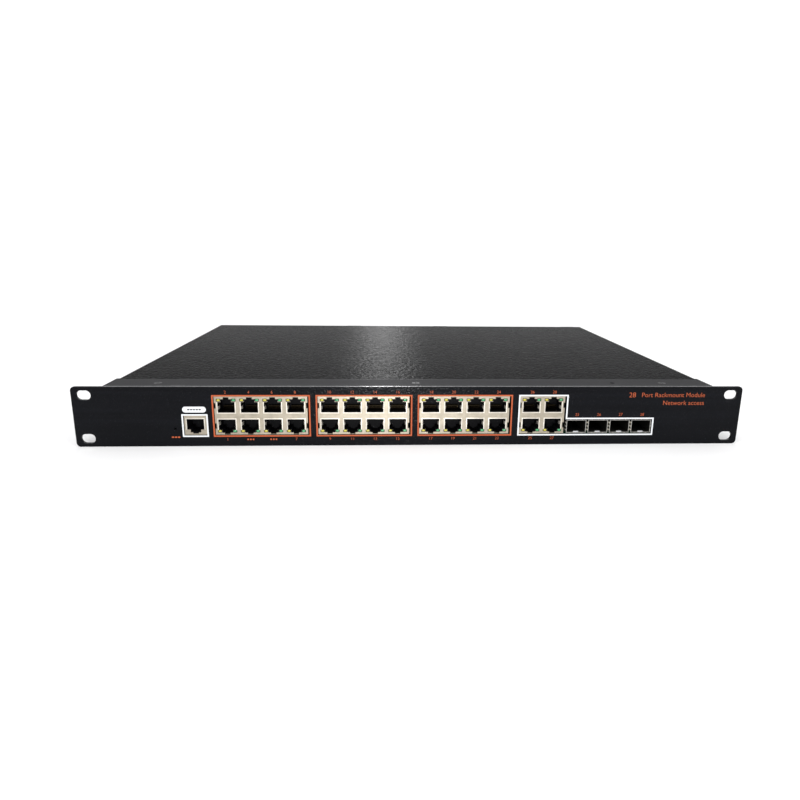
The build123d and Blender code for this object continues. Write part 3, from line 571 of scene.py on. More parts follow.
@dataclass
class Surface:
    """Points with their quads and triangles, in metres."""

    points: np.ndarray
    quads: np.ndarray
    triangles: np.ndarray = field(default_factory=no_triangles)

    def tiled(self, offsets: np.ndarray) -> "Surface":
        """Copies at each offset, joined.

        Args:
            offsets: one row of X, Y, Z for each copy.

        Returns:
            All copies as one surface.
        """
        count = len(self.points)
        points = (self.points[None] + offsets[:, None]).reshape(-1, 3)
        shift = (np.arange(len(offsets)) * count)[:, None, None]
        quads = (self.quads[None] + shift).reshape(-1, 4)
        triangles = (self.triangles[None] + shift).reshape(-1, 3)
        return Surface(points, quads, triangles)

    def turned(self, matrix: np.ndarray) -> "Surface":
        """The surface with its points multiplied by a 3 by 3 matrix of determinant 1."""
        return Surface(self.points @ matrix.T, self.quads, self.triangles)

    def moved(self, offset: tuple[float, float, float] | np.ndarray) -> "Surface":
        """The surface carried by an offset."""
        return Surface(self.points + np.asarray(offset, float), self.quads, self.triangles)

    def to_object(self, name: str, body: str, slot: str, material: bpy.types.Material | None = None,
                  smooth: bool = True) -> bpy.types.Object:
        """Makes the piece, gives it its finish and lets it ride on its body.

        Args:
            name: the piece's name.
            body: the CAD body that it moves with.
            slot: the record's material slot.
            material: its own material, or None for the slot's.
            smooth: whether faces are shaded smooth within 40 degrees.

        Returns:
            The object.
        """
        mesh = bpy.data.meshes.new(name)
        faces = [*self.quads.tolist(), *self.triangles.tolist()]
        mesh.from_pydata(self.points.tolist(), [], faces)
        mesh.materials.append(material or finish_of(slot))
        if smooth:
            mesh.shade_smooth()
            mesh.set_sharp_from_angle(angle=math.radians(40))
        mesh.update()
        return riding(name, mesh, body)


def merged(parts: list[Surface]) -> Surface:
    """Joins surfaces into one, in their order."""
    shifts = np.cumsum([0, *(len(part.points) for part in parts[:-1])])
    points = np.vstack([part.points for part in parts])
    quads = np.vstack([part.quads + shift for part, shift in zip(parts, shifts)])
    triangles = np.vstack([part.triangles + shift for part, shift in zip(parts, shifts)])
    return Surface(points, quads, triangles)


def wrap_quads(rows: int, columns: int, close_rows: bool = False) -> np.ndarray:
    """Quads of a grid whose columns close into a ring.

    Args:
        rows: the number of rings.
        columns: the number of points in each ring.
        close_rows: whether the last ring joins the first.

    Returns:
        One row of four point numbers for each quad.
    """
    last = rows if close_rows else rows - 1
    i, j = np.meshgrid(np.arange(last), np.arange(columns), indexing="ij")
    a = i * columns + j
    b = i * columns + (j + 1) % columns
    c = ((i + 1) % rows) * columns + (j + 1) % columns
    d = ((i + 1) % rows) * columns + j
    return np.stack([a, b, c, d], -1).reshape(-1, 4)


def signed_power(wave: np.ndarray, power: float) -> np.ndarray:
    """The wave's size raised to a power, with its sign kept."""
    return np.sign(wave) * np.abs(wave) ** power


def pillow(half: tuple[float, float, float], flat: float, round_: float, rings: int = 8,
           spokes: int = 24) -> Surface:
    """A superquadric: a rounded block whose three half sizes are given.

    The point at latitude u and longitude v is (a C(u, flat) C(v, round), b S(u, flat),
    c C(u, flat) S(v, round)), where C and S are the cosine and sine with their size raised to a power,
    so small powers make square corners. The poles lie on Y and each is one point.

    Args:
        half: half the size along X, Y and Z.
        flat: the power for latitude.
        round_: the power for longitude.
        rings: rings of points between the poles.
        spokes: points in each ring.

    Returns:
        The closed block, centred on the origin.
    """
    u = np.linspace(-np.pi / 2, np.pi / 2, rings + 2)[1:-1]
    v = np.linspace(0, 2 * np.pi, spokes, endpoint=False)
    cu, su = signed_power(np.cos(u), flat)[:, None], signed_power(np.sin(u), flat)[:, None]
    cv, sv = signed_power(np.cos(v), round_)[None], signed_power(np.sin(v), round_)[None]
    a, b, c = half
    points = np.stack([a * cu * cv, b * su * np.ones_like(cv), c * cu * sv], -1).reshape(-1, 3)
    poles = np.array([[0, -b, 0], [0, b, 0]])
    j = np.arange(spokes)
    nearer = np.stack([np.full(spokes, len(points)), j, (j + 1) % spokes], -1)
    base = (rings - 1) * spokes
    further = np.stack([np.full(spokes, len(points) + 1), base + (j + 1) % spokes, base + j], -1)
    quads = wrap_quads(rings, spokes)[:, ::-1]
    return Surface(np.vstack([points, poles]), quads, np.vstack([nearer, further]))


def band(path: np.ndarray, across: np.ndarray, lift: np.ndarray, width: float, thick: float) -> Surface:
    """A flat strip carried along an open path, closed at both ends.

    Each station of the path has four corners: the point plus or minus half the width along the across
    direction, and the same two points raised by the thickness along the lift direction.

    Args:
        path: the stations, one row each.
        across: unit direction of the width, one row or one for each station.
        lift: unit direction of the thickness, one row or one for each station.
        width: the strip's width.
        thick: the strip's thickness.

    Returns:
        The closed strip.
    """
    side = np.broadcast_to(across, path.shape) * width / 2
    up = np.broadcast_to(lift, path.shape) * thick
    rings = np.stack([path - side, path + side, path + side + up, path - side + up], 1)
    quads = wrap_quads(len(path), 4)
    end = (len(path) - 1) * 4
    caps = np.array([[3, 2, 1, 0], [end, end + 1, end + 2, end + 3]])
    return Surface(rings.reshape(-1, 3), np.vstack([quads, caps]))


def unit_rows(rows: np.ndarray) -> np.ndarray:
    """Each row brought to a length of one."""
    return rows / np.linalg.norm(rows, axis=1, keepdims=True)


def at_depth(flat: np.ndarray, depth: float) -> np.ndarray:
    """(X, Z) pairs as points at one Y."""
    return np.stack([flat[:, 0], np.full(len(flat), depth), flat[:, 1]], -1)


def outline_band(corners: np.ndarray, width: float, y: float, thick: float) -> Surface:
    """A printed line around a closed outline on the panel.

    The outline's corners are (X, Z) pairs, counter-clockwise seen from the front. Each corner is mitred:
    its outer point is the corner and its inner point lies one width inside both edges.

    Args:
        corners: the outline's outer corners.
        width: the line's width.
        y: the face that the line lies on.
        thick: how far it stands in front of the face.

    Returns:
        The closed line.
    """
    before, after = np.roll(corners, 1, 0), np.roll(corners, -1, 0)
    run_in, run_out = unit_rows(corners - before), unit_rows(after - corners)
    normal_in = np.stack([-run_in[:, 1], run_in[:, 0]], -1)
    normal_out = np.stack([-run_out[:, 1], run_out[:, 0]], -1)
    mitre = (normal_in + normal_out) / (1 + np.sum(normal_in * normal_out, 1, keepdims=True))
    inner = corners + mitre * width
    front = y - thick
    loops = ((corners, y), (corners, front), (inner, front), (inner, y))
    rings = np.stack([at_depth(flat, depth) for flat, depth in loops], 1)
    return Surface(rings.reshape(-1, 3), wrap_quads(len(corners), 4, True)[:, ::-1])


def disc(radius: float, thick: float, spokes: int = 24, half_length: float = 0.0) -> Surface:
    """A thin printed disc or pill facing the front.

    Args:
        radius: the rim's radius.
        thick: how far its face stands in front of its back.
        spokes: points around the rim.
        half_length: how far each half is pushed out along X, which makes a pill.

    Returns:
        The closed disc, with its back's centre on the origin.
    """
    v = np.linspace(0, 2 * np.pi, spokes, endpoint=False) + np.pi / spokes
    x = radius * np.cos(v) + half_length * np.sign(np.cos(v))
    z = radius * np.sin(v)
    front = np.stack([x, np.full(spokes, -thick), z], -1)
    back = np.stack([x, np.zeros(spokes), z], -1)
    centre = np.array([[0, -thick, 0], [0, 0, 0]])
    j = np.arange(spokes)
    quads = np.stack([j, spokes + j, spokes + (j + 1) % spokes, (j + 1) % spokes], -1)
    face = np.stack([np.full(spokes, 2 * spokes), j, (j + 1) % spokes], -1)
    rear = np.stack([np.full(spokes, 2 * spokes + 1), spokes + (j + 1) % spokes, spokes + j], -1)
    return Surface(np.vstack([front, back, centre]), quads, np.vstack([face, rear]))


# ------------------------------------------------------------------ layout read from the frame
class Block(Enum):
    """The jack blocks, each with its CAD node and its number of columns."""

    FIRST = ("port_block_1_shield", 4)
    SECOND = ("port_block_2_shield", 4)
    THIRD = ("port_block_3_shield", 4)
    FOURTH = ("port_block_4_shield", 2)


@dataclass(frozen=True)
class Jack:
    """One network jack: its centre line, the height of its floor, the way its latch points and its number."""

    x: float
    floor: float
    latch: int
    number: int


@dataclass
class Layout:
    """Where the jacks and bays are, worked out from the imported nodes."""

    edge: float = 0.2 * MM
    upper_floor: float = 24.8 * MM
    lower_floor: float = 19.7 * MM
    console_floor: float = 20.1 * MM
    bay_width: float = 14.7 * MM
    bay_count: int = 4

    def pitch(self) -> float:
        """The distance between columns of jacks."""
        low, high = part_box(Block.FIRST.value[0])
        return (high[0] - low[0] - 2 * self.edge) / Block.FIRST.value[1]

    def jacks(self) -> list[Jack]:
        """Finds every network jack from its block's box.

        Returns:
            The jacks column by column, the odd number below and the even one above.
        """
        found, column = [], 0
        for block in Block:
            node, columns = block.value
            low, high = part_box(node)
            centre = (low[0] + high[0]) / 2
            for i in range(columns):
                x = centre + (i - (columns - 1) / 2) * self.pitch()
                found.append(Jack(x, self.lower_floor, -1, 2 * column + 1))
                found.append(Jack(x, self.upper_floor, 1, 2 * column + 2))
                column += 1
        return found

    def bays(self) -> np.ndarray:
        """The centres of the optical bays along X."""
        low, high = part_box("sfp_cage")
        return np.linspace(low[0] + self.bay_width / 2, high[0] - self.bay_width / 2, self.bay_count)

    def shield_face(self) -> float:
        """The Y of the jack shields' front faces."""
        return float(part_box(Block.FIRST.value[0])[0][1])

    def panel_face(self) -> float:
        """The Y of the panel's front face."""
        return float(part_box("front_panel")[0][1])


# ------------------------------------------------------------------ sub-assemblies
@dataclass
class PanelPrint:
    """The printing on the front panel: frames round the jacks, numbers, marks and two lines of words."""

    layout: Layout
    line: float = 1.05 * MM
    ink: float = 0.04 * MM
    number_size: float = 3.0 * MM
    title_size: float = 5.0 * MM
    number_gap: float = 3.35 * MM
    marked_jacks: tuple[int, int] = (3, 5)
    block_margin: float = 1.1 * MM
    console_margin: float = 0.3 * MM
    orange: tuple[float, float, float] = (0.44, 0.088, 0.027)
    white: tuple[float, float, float] = (0.74, 0.76, 0.78)
    dark: tuple[float, float, float] = (0.02, 0.022, 0.028)

    def build(self) -> None:
        """Builds every printed piece."""
        self._jack_frames()
        self._white_frames()
        self._numbers()
        self._marks()
        self._title()

    def _opening(self, node: str, right: float) -> tuple[float, float, float, float]:
        """Measures the outer edge of the frame round a node's opening.

        Args:
            node: the CAD node that fills the opening.
            right: the opening's margin on its right side.

        Returns:
            Left, right, bottom and top.
        """
        low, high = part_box(node)
        gap = 0.3 * MM + self.line
        return low[0] - gap, high[0] + right + self.line, low[2] - gap, high[2] + gap

    def _place(self, surface: Surface, name: str, colour: str) -> None:
        """Makes one printed piece.

        Args:
            surface: its shape.
            name: the piece's name.
            colour: orange, white or dark.
        """
        material = ink_of(f"{colour}_ink", getattr(self, colour))
        surface.to_object(name, "chassis", "panel_coat", material, smooth=False)

    def _frame(self, corners: list[list[float]], name: str, colour: str) -> None:
        """Prints a line round an outline.

        Args:
            corners: the outline's outer corners, counter-clockwise from the lower left.
            name: the piece's name.
            colour: orange or white.
        """
        outline = outline_band(np.array(corners), self.line, self.layout.panel_face(), self.ink)
        self._place(outline, name, colour)

    def _jack_frames(self) -> None:
        """The orange frames round the three large blocks."""
        for number, block in enumerate(list(Block)[:3], 1):
            left, right, low, high = self._opening(block.value[0], self.block_margin)
            corners = [[left, low], [right, low], [right, high], [left, high]]
            self._frame(corners, f"frame_print_{number}", "orange")

    def _white_frames(self) -> None:
        """The white frame of the console jack and the stepped one round the last block and the bays."""
        left, right, low, high = self._opening("console_shield", self.console_margin)
        self._frame([[left, low], [right, low], [right, high], [left, high]], "frame_print_console", "white")
        left, corner, low, high = self._opening(Block.FOURTH.value[0], self.block_margin)
        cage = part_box("sfp_gasket")[1]
        right, step = cage[0] + 0.15 * MM + self.line, cage[2] + 0.15 * MM + self.line
        stepped = [[left, low], [right, low], [right, step], [corner, step], [corner, high], [left, high]]
        self._frame(stepped, "frame_print_uplink", "white")

    def words(self, text: str, name: str, size: float, x: float, z: float, align: str = "CENTER",
              heavy: float = -0.03 * MM) -> None:
        """Prints words on the panel.

        Args:
            text: what is printed.
            name: the piece's name.
            size: the letters' size.
            x: where the words are centred, or end if align is RIGHT.
            z: the height of their middle.
            align: CENTER, LEFT or RIGHT.
            heavy: how much each stroke is thickened, or thinned if negative.
        """
        curve = bpy.data.curves.new(name, "FONT")
        curve.body = text
        curve.size = size
        curve.align_x = align
        curve.align_y = "CENTER"
        curve.extrude = self.ink / 2
        curve.offset = heavy
        curve.resolution_u = 3
        source = linked(name + "_curve", curve)
        bpy.context.view_layer.update()
        solid = source.evaluated_get(bpy.context.evaluated_depsgraph_get())
        mesh = bpy.data.meshes.new_from_object(solid)
        bpy.data.objects.remove(source)
        upright = Matrix.Translation(Vector((x, self.layout.panel_face() - self.ink / 2, z)))
        mesh.transform(upright @ Matrix.Rotation(math.radians(90), 4, "X"))
        self._weld(mesh)
        mesh.materials.clear()
        mesh.materials.append(ink_of("orange_ink", self.orange))
        riding(name, mesh, "chassis")

    @staticmethod
    def _weld(mesh: bpy.types.Mesh) -> None:
        """Closes the seams between the letters' faces and sides."""
        soup = bmesh.new()
        soup.from_mesh(mesh)
        bmesh.ops.remove_doubles(soup, verts=soup.verts, dist=1e-6)
        bmesh.ops.recalc_face_normals(soup, faces=soup.faces)
        soup.to_mesh(mesh)
        soup.free()

    def _numbers(self) -> None:
        """The jacks' and the bays' numbers."""
        low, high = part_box(Block.FIRST.value[0])
        above, below = high[2] + 3.3 * MM, low[2] - self.number_gap
        for jack in self.layout.jacks():
            if jack.number in self.marked_jacks:
                continue
            height = above if jack.latch > 0 else below
            self.words(str(jack.number), f"number_{jack.number:02d}", self.number_size, jack.x, height)
        over_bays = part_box("sfp_cage")[1][2] + 4.1 * MM
        for bay, x in enumerate(self.layout.bays(), 25):
            self.words(str(bay), f"bay_number_{bay}", self.number_size, x, over_bays)

    def _marks(self) -> None:
        """Plain marks: two lamp marks, the reset mark, and the console's pill with three short bars."""
        face = self.layout.panel_face()
        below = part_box(Block.FIRST.value[0])[0][2] - self.number_gap
        for jack in self.layout.jacks():
            if jack.number in self.marked_jacks:
                dots = np.array([[jack.x + k * 1.9 * MM, face, below] for k in (-1, 0, 1)])
                self._place(disc(0.62 * MM, self.ink, 16).tiled(dots), f"lamp_mark_{jack.number}", "orange")
        low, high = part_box("reset_button")
        reset_x = (low[0] + high[0]) / 2
        bars = np.array([[reset_x + k * 2.1 * MM, face, 6.9 * MM] for k in (-1, 0, 1)])
        self._place(disc(0.55 * MM, self.ink, 12, 0.35 * MM).tiled(bars), "reset_mark", "orange")
        low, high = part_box("console_shield")
        middle, level = (low[0] + high[0]) / 2, high[2] + 4.75 * MM
        pill = disc(2.15 * MM, self.ink, 40, 6.1 * MM).moved((middle, face, level))
        self._place(pill, "console_pill", "white")
        ticks = np.array([[middle + k * 2.0 * MM, face - self.ink, level] for k in (-2, -1, 0, 1, 2)])
        self._place(disc(0.5 * MM, self.ink, 12, 0.3 * MM).tiled(ticks), "console_pill_marks", "dark")

    def _title(self) -> None:
        """Two plain lines at the right end of the panel."""
        right, upper, lower = 213.2 * MM, 37.6 * MM, 31.6 * MM
        size = self.title_size * 0.96
        self.words("28", "title_count", self.title_size * 1.06, 158.5 * MM, upper)
        self.words("Port Rackmount Module", "title_line_1", size, right, upper, "RIGHT")
        self.words("Network access", "title_line_2", size, right, lower, "RIGHT")


@dataclass
class CaseEdges:
    """The bends and joint lines along the top of the case, as thin strips on the sheet metal: painted highlights
    on the bends, a dark joint and a painted shadow in the hook recess.
    """

    layout: Layout
    thick: float = 0.03 * MM

    def build(self) -> None:
        """Builds a painted highlight on the bend behind the panel, a painted sheen on the cover's front bend, the
        dark joint and a painted shadow over the hook recess.
        """
        left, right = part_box("base_tray")[0][0] + 1.0 * MM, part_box("base_tray")[1][0] - 1.0 * MM
        # painted highlight on the bend behind the panel
        self._strip("lip_bend_highlight", left, right, 3.9 * MM, 1.3 * MM, "bend_highlight_coat")
        # a lighter line of painted sheen on the cover's front bend
        self._strip("cover_bend_sheen", left, right, 26.3 * MM, 0.7 * MM, "lip_sheen_coat")
        self._strip("lip_joint", left, right, 25.5 * MM, 0.6 * MM, "black_moulding")
        # painted shadow: a thin black sheet over the hook recess
        self._strip("hook_recess_shadow", -174.5 * MM, -164.5 * MM, 5.2 * MM, 4.2 * MM, "black_moulding", 0.02 * MM)

    def _strip(self, name: str, left: float, right: float, depth: float, width: float, finish: str,
               raised: float = 0.0) -> None:
        """One strip along X on the case's top.

        Args:
            name: the piece's name.
            left: its left end.
            right: its right end.
            depth: how far behind the panel's face its middle lies.
            width: its width along Y.
            finish: the finish it takes.
            raised: how far it stands off the case.
        """
        x = np.linspace(left, right, 60)
        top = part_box("base_tray")[1][2] + raised
        path = np.stack([x, np.full_like(x, self.layout.panel_face() + depth), np.full_like(x, top)], -1)
        strip = band(path, np.array([0, 1.0, 0]), np.array([0, 0, 1.0]), width, self.thick)
        strip.to_object(name, "chassis", "case_coat", finish_of(finish), smooth=False)


@dataclass
class JackDetails:
    """Small pieces in and around the jacks: domed lamps, grounding springs and rolled edges."""

    layout: Layout
    jack_width: float = 12.0 * MM
    jack_height: float = 7.8 * MM
    lamp_offset: float = 5.3 * MM
    lamp_half: tuple[float, float, float] = (1.25 * MM, 0.5 * MM, 0.85 * MM)
    bezel_half: tuple[float, float, float] = (1.75 * MM, 0.14 * MM, 1.2 * MM)

    def build(self) -> None:
        """Builds all the small pieces of the jacks."""
        self._lamps()
        self._springs()
        self._rims()

    def _lamps(self) -> None:
        """Domed lenses in dark bezels, in place of the plain lamp blocks."""
        face = self.layout.shield_face()
        for name, side in (("yellow", -1), ("green", 1)):
            low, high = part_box(f"port_lamps_{name}")
            centres = {-1: low[2] + 1.0 * MM, 1: high[2] - 1.0 * MM}
            offsets = np.array([[jack.x + side * self.lamp_offset, face + 0.12 * MM, centres[jack.latch]]
                                for jack in self.layout.jacks()])
            lens = pillow(self.lamp_half, 0.75, 0.8).tiled(offsets)
            piece = lens.to_object(f"lamp_lenses_{name}", "chassis", f"lamp_{name}")
            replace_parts(piece, f"port_lamps_{name}")
            bezel = pillow(self.bezel_half, 0.3, 0.45, 5).tiled(offsets)
            bezel.to_object(f"lamp_bezels_{name}", "chassis", "black_moulding")

    def _springs(self) -> None:
        """The grounding springs inside both side walls of each jack.

        Each spring runs back along the wall for 5 mm; its distance from the wall is 0.15 mm plus a sine bulge
        of 0.7 mm.
        """
        start = self.layout.shield_face() + 0.5 * MM
        t = np.linspace(0, 1, 12)
        bulge = 0.15 * MM + 0.7 * MM * np.sin(np.pi * t)
        made = []
        for side in (-1, 1):
            path = np.stack([-side * bulge, start + 5 * MM * t, np.zeros_like(t)], -1)
            strip = band(path, np.array([0, 0, 1.0]), np.array([side, 0, 0]), 2.4 * MM, 0.12 * MM)
            if side < 0:
                strip = Surface(strip.points, strip.quads[:, ::-1], strip.triangles)
            offsets = np.array([[jack.x + side * self.jack_width / 2, 0, jack.floor + jack.latch * 3.4 * MM]
                                for jack in self.layout.jacks()])
            made.append(strip.tiled(offsets))
        # the springs take the lighter plating: a painted glint
        merged(made).to_object("jack_springs", "chassis", "nickel_cage", finish_of("edge_highlight_plate"))

    def _rims(self) -> None:
        """The bright rolled edge along both sides and the floor of each jack opening, whose brightness is a
        painted highlight: a lighter copy of the plating.

        Each rim is an oval bead of 0.42 mm radius carried along a U of three runs with mitred corners.
        """
        face = self.layout.shield_face()
        radius, spokes = 0.42 * MM, 8
        half, height, sill = self.jack_width / 2 + 0.4 * MM, self.jack_height, -0.4 * MM
        run = np.array([[-half, height], [-half, sill], [half, sill], [half, height]])
        angle = np.linspace(0, 2 * np.pi, spokes, endpoint=False)
        outward = np.array([[-1.0, 0], [-1.0, -1.0], [1.0, -1.0], [1.0, 0]])
        rings = np.stack([
            run[:, None, 0] + outward[:, None, 0] * radius * np.cos(angle)[None],
            np.broadcast_to(face + radius * 0.6 * np.sin(angle), (len(run), spokes)),
            run[:, None, 1] + outward[:, None, 1] * radius * np.cos(angle)[None]], -1)
        rings[0, :, 2] = height
        rings[-1, :, 2] = height
        quads = wrap_quads(len(run), spokes)
        first = np.array([[0, 1, 2, 3], [0, 3, 4, 7], [4, 5, 6, 7]])[:, ::-1]
        last = first[:, ::-1] + (len(run) - 1) * spokes
        bead = Surface(rings.reshape(-1, 3), np.vstack([quads, first, last]))
        flipped = Surface(bead.points * np.array([1, 1, -1]), bead.quads[:, ::-1])
        up = np.array([[jack.x, 0, jack.floor] for jack in self.layout.jacks() if jack.latch > 0])
        down = np.array([[jack.x, 0, jack.floor] for jack in self.layout.jacks() if jack.latch < 0])
        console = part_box("console_shield")
        down = np.vstack([down, [[(console[0][0] + console[1][0]) / 2, 0, self.layout.console_floor]]])
        rims = merged([bead.tiled(up), flipped.tiled(down)])
        rims.to_object("jack_rims", "chassis", "tin_plate", finish_of("edge_highlight_plate"))


def quarter_turn(turns: int) -> np.ndarray:
    """The matrix of whole quarter turns about Y."""
    return np.round(np.array(Matrix.Rotation(-turns * math.pi / 2, 3, "Y")), 9)


@dataclass
class SpringGasket:
    """The spring fingers round the optical bays."""

    layout: Layout
    reach: float = 4.4 * MM
    sheet: float = 0.1 * MM

    def _finger(self, width: float, rise: float) -> Surface:
        """One finger that stands off its wall along +Z: it rises in a half sine over its reach.

        Args:
            width: the finger's width.
            rise: how far it stands off its wall.

        Returns:
            The closed finger.
        """
        t = np.linspace(0, 1, 10)
        lift = 0.03 * MM + rise * np.sin(np.pi * np.clip(t * 1.05, 0, 1)) ** 0.8
        path = np.stack([np.zeros_like(t), t * self.reach, lift], -1)
        return band(path, np.array([-1.0, 0, 0]), np.array([0, 0, 1.0]), width, self.sheet)

    def build(self) -> None:
        """Builds the fingers of all four sides of all bays, in place of the plain rings."""
        low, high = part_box("sfp_cage")
        front = low[1] + 0.05 * MM
        half = self.layout.bay_width / 2
        wide, tall = self._finger(0.6 * MM, 0.5 * MM), self._finger(1.1 * MM, 0.6 * MM)
        xs = (np.arange(3) - 1.0) * 4.3 * MM
        zs = (low[2] + high[2]) / 2 + (np.arange(3) - 1.0) * 2.7 * MM
        made = []
        for bay in self.layout.bays():
            made.append(wide.tiled(np.array([[bay + x, front, high[2]] for x in xs])))
            made.append(wide.turned(quarter_turn(2)).tiled(np.array([[bay + x, front, low[2]] for x in xs])))
            made.append(tall.turned(quarter_turn(1)).tiled(np.array([[bay - half, front, z] for z in zs])))
            made.append(tall.turned(quarter_turn(3)).tiled(np.array([[bay + half, front, z] for z in zs])))
        # the fingers take the lighter plating: a painted highlight
        bright = finish_of("edge_highlight_plate")
        piece = merged(made).to_object("bay_spring_fingers", "chassis", "nickel_cage", bright)
        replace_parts(piece, "sfp_gasket")
        latch = pillow((2.0 * MM, 0.16 * MM, 0.55 * MM), 0.3, 0.3, 5)
        places = np.array([[bay, front + 0.35 * MM, low[2] + 0.7 * MM] for bay in self.layout.bays()])
        latch.tiled(places).to_object("bay_latches", "chassis", "nickel_cage", finish_of("sink_aluminium"))


@dataclass
class FanRotor:
    """A fan's rotor with seven cambered, twisted blades on a domed hub."""

    number: int
    blades: int = 7
    hub: float = 10.8 * MM
    tip: float = 18.2 * MM
    stations: int = 9
    spokes: int = 20

    def build(self) -> None:
        """Builds the rotor in place of the plain one."""
        node = f"fan_rotor_{self.number}"
        low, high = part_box(node)
        axle = next(joint["pos_m"] for joint in frame["joints"] if joint["child"] == node)
        blade = self._blade((low[1] + high[1]) / 2 - 0.3 * MM)
        turns = [np.array(Matrix.Rotation(2 * math.pi * i / self.blades, 3, "Y")) for i in range(self.blades)]
        parts = [self._hub(low[1] + 1.8 * MM, high[1]), *(blade.turned(turn) for turn in turns)]
        made = merged(parts).moved((axle[0], 0, axle[2]))
        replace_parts(made.to_object(f"rotor_{self.number}", node, "fan_resin"), node)

    def _hub(self, front: float, back: float) -> Surface:
        """The hub: a cup turned about Y from a closed profile of radius against depth.

        Args:
            front: the Y of its front face.
            back: the Y of its back face.

        Returns:
            The closed hub.
        """
        profile = np.array([[1.0 * MM, front], [1.0 * MM, back - 2.6 * MM], [9.4 * MM, back - 2.6 * MM],
                            [9.4 * MM, front], [self.hub, front], [self.hub, back - 1.4 * MM],
                            [self.hub - 0.4 * MM, back - 0.4 * MM], [self.hub - 1.4 * MM, back],
                            [0.3 * MM, back], [0.3 * MM, back - 1.2 * MM], [0.3 * MM, front]])
        v = np.linspace(0, 2 * np.pi, 48, endpoint=False)
        x = profile[:, 0][:, None] * np.cos(v)
        z = profile[:, 0][:, None] * np.sin(v)
        y = np.broadcast_to(profile[:, 1][:, None], x.shape)
        return Surface(np.stack([x, y, z], -1).reshape(-1, 3), wrap_quads(len(profile), 48, True)[:, ::-1])

    def _blade(self, middle: float) -> Surface:
        """One blade: an oval section that turns from 52 degrees at the hub to 30 at the tip.

        At radius r the section is an ellipse of half thickness 0.5 mm, whose half chord grows from 5.3 mm at
        the hub to 6.2 mm at the tip. It is bent by a camber of 0.9 mm times one less the square of the place
        along the chord.

        Args:
            middle: the blade's place along the axle.

        Returns:
            The closed blade, with the axle through the origin.
        """
        count = self.spokes
        r = np.linspace(self.hub - 0.6 * MM, self.tip, self.stations)[:, None]
        share = (r - r[0]) / (r[-1] - r[0])
        v = np.linspace(0, 2 * np.pi, count, endpoint=False)[None]
        chord = 6.2 * MM * (0.86 + 0.14 * share) * np.cos(v)
        thick = 0.5 * MM * np.sin(v) + 0.9 * MM * (1 - np.cos(v) ** 2)
        pitch = np.radians(52 - 22 * share)
        along = chord * np.cos(pitch) - thick * np.sin(pitch)
        deep = chord * np.sin(pitch) + thick * np.cos(pitch)
        angle = along / r
        x, z = r * np.sin(angle), r * np.cos(angle)
        points = np.stack([x, middle + deep * 0.82, z], -1).reshape(-1, 3)
        last = (self.stations - 1) * count
        centres = np.stack([points[:count].mean(0), points[last:].mean(0)])
        j = np.arange(count)
        root = np.stack([np.full(count, len(points)), j, (j + 1) % count], -1)
        tip = np.stack([np.full(count, len(points) + 1), last + (j + 1) % count, last + j], -1)
        quads = wrap_quads(self.stations, count)
        return Surface(np.vstack([points, centres]), quads, np.vstack([root, tip])[:, ::-1])


@dataclass
class CadFinishes:
    """Gives every carried-over CAD node the finish of its slot; the base tray takes the lip coat instead, whose
    upward faces carry a painted sheen.
    """

    def dress(self) -> None:
        """Puts the finishes on."""
        for row in frame["record"]["subparts"]:
            node = frame["nodes"][row["node"]]
            # the base tray gets the lip coat with its painted sheen on upward faces
            material = finish_of("lip_sheen_coat" if row["node"] == "base_tray" else row["material_slot"])
            if node.material_slots:
                for place in node.material_slots:
                    place.material = material
            else:
                node.data.materials.append(material)
            LOG.info("%s: %s", row["node"], row["material_slot"])


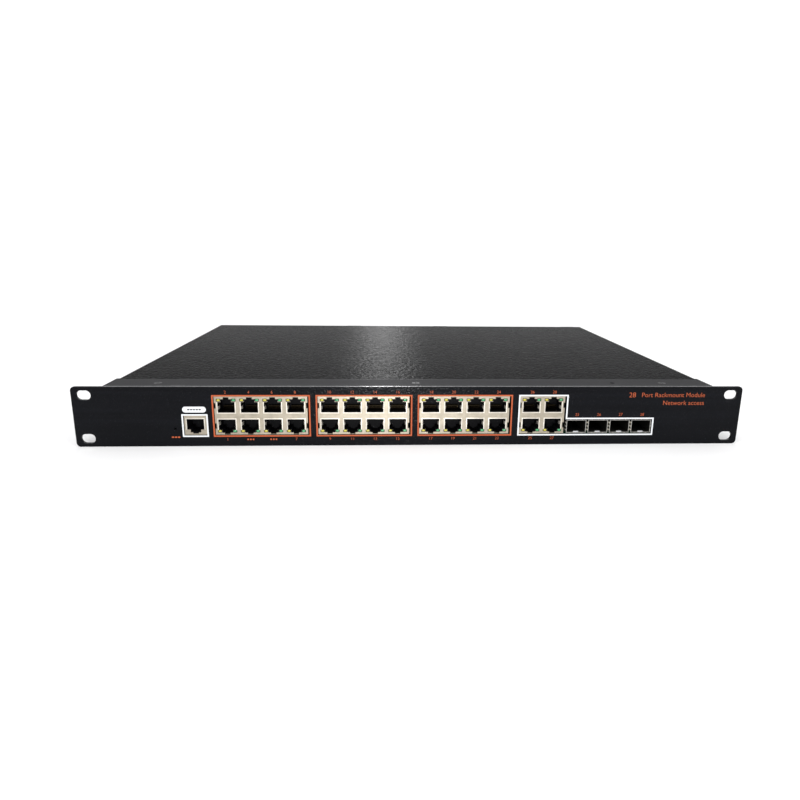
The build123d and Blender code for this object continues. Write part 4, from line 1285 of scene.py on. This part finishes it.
# ------------------------------------------------------------------ stage, light and camera
@dataclass
class Studio:
    """A pale floor that sweeps up behind, soft lights and the camera."""

    floor_colour: tuple[float, float, float] = (0.95, 0.95, 0.955)
    sky: float = 0.7

    def build(self) -> None:
        """Builds the floor, the lights and the camera."""
        self._sweep()
        self._sky()
        self._light("key_light", (-0.5, -1.1, 1.5), (0.0, 0.0, 0.0), 1.6, 18.0)
        self._light("fill_light", (1.3, -0.9, 1.0), (0.0, 0.0, 0.0), 1.4, 9.0)
        self._light("back_light", (-0.03, 1.5, 0.42), (0.0, 0.1, 0.03), 0.12, 2.2)
        self._light("wall_light", (0.0, 1.0, 2.2), (0.0, 4.0, 1.6), 2.5, 105.0)
        self._light("glint_light", (-0.02, -0.66, 0.012), (-0.02, -0.16, 0.02), 0.03, 0.9)
        self._camera()

    def _sweep(self) -> None:
        """The floor, which curves up into a wall in a quarter circle of 1.5 m radius from 2.5 m back."""
        t, radius = np.linspace(0, 1, 25), 1.5
        y = np.concatenate([[-3.0], 2.5 + radius * np.sin(t * np.pi / 2), [4.0]])
        z = np.concatenate([[0.0], radius - radius * np.cos(t * np.pi / 2), [4.5]])
        x = np.repeat(np.array([[-5.0, 5.0]]), len(y), 0)
        points = np.stack([x, np.repeat(y[:, None], 2, 1), np.repeat(z[:, None], 2, 1)], -1)
        rows = np.arange(len(y) - 1)[:, None] * 2
        quads = rows + np.array([[0, 1, 3, 2]])
        mesh = bpy.data.meshes.new("studio_floor")
        mesh.from_pydata(points.reshape(-1, 3).tolist(), [], quads.tolist())
        mesh.shade_smooth()
        r = Recipe("studio_paper")
        base = r.mix(r.noise(0.4, 2.0), rgba(self.floor_colour, 0.99), rgba(self.floor_colour, 1.01))
        mesh.materials.append(r.finish(Base_Color=base, Roughness=0.9, Specular_IOR_Level=0.1))
        linked("studio_floor", mesh)

    def _sky(self) -> None:
        """Even white light from all round."""
        world = bpy.data.worlds.new("studio_sky")
        bpy.context.scene.world = world
        world.use_nodes = True
        background = world.node_tree.nodes["Background"]
        background.inputs["Color"].default_value = (1.0, 1.0, 1.0, 1.0)
        background.inputs["Strength"].default_value = self.sky
        bpy.context.scene.view_settings.view_transform = "Standard"

    @staticmethod
    def _light(name: str, place: tuple, aim: tuple, size: float, power: float) -> None:
        """A square soft light that faces a point.

        Args:
            name: the light's name.
            place: where it is.
            aim: the point that it faces.
            size: the length of its side.
            power: its power in watts.
        """
        lamp = bpy.data.lights.new(name, "AREA")
        lamp.size = size
        lamp.energy = power
        body = linked(name, lamp)
        body.location = place
        body.rotation_euler = (Vector(aim) - Vector(place)).to_track_quat("-Z", "Y").to_euler()

    @staticmethod
    def _camera() -> None:
        """The camera: in front of the panel, a little to the left of its middle, looking down on it."""
        lens = bpy.data.cameras.new("camera")
        lens.sensor_width = 36.0
        lens.lens = 27.42
        lens.shift_x, lens.shift_y = -0.0234, -0.0112
        lens.clip_start = 0.01
        camera = linked("camera", lens)
        yaw, tilt, roll = math.radians(-3.30), math.radians(90 - 13.96), math.radians(0.776)
        turn = Matrix.Rotation(yaw, 4, "Z") @ Matrix.Rotation(tilt, 4, "X") @ Matrix.Rotation(roll, 4, "Z")
        place = Vector((-22.9 * MM, float(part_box("front_panel")[0][1]) - 423.2 * MM, 146.2 * MM))
        camera.matrix_world = Matrix.Translation(place) @ turn
        bpy.context.scene.camera = camera


def main() -> None:
    """Builds the stage, then the pieces, and reports each one."""
    logging.basicConfig(level=logging.INFO, format="%(message)s")
    Studio().build()
    CadFinishes().dress()
    layout = Layout()
    PanelPrint(layout).build()
    CaseEdges(layout).build()
    JackDetails(layout).build()
    SpringGasket(layout).build()
    for number in (1, 2):
        FanRotor(number).build()
    bpy.context.view_layer.update()


if __name__ == "__main__":
    main()
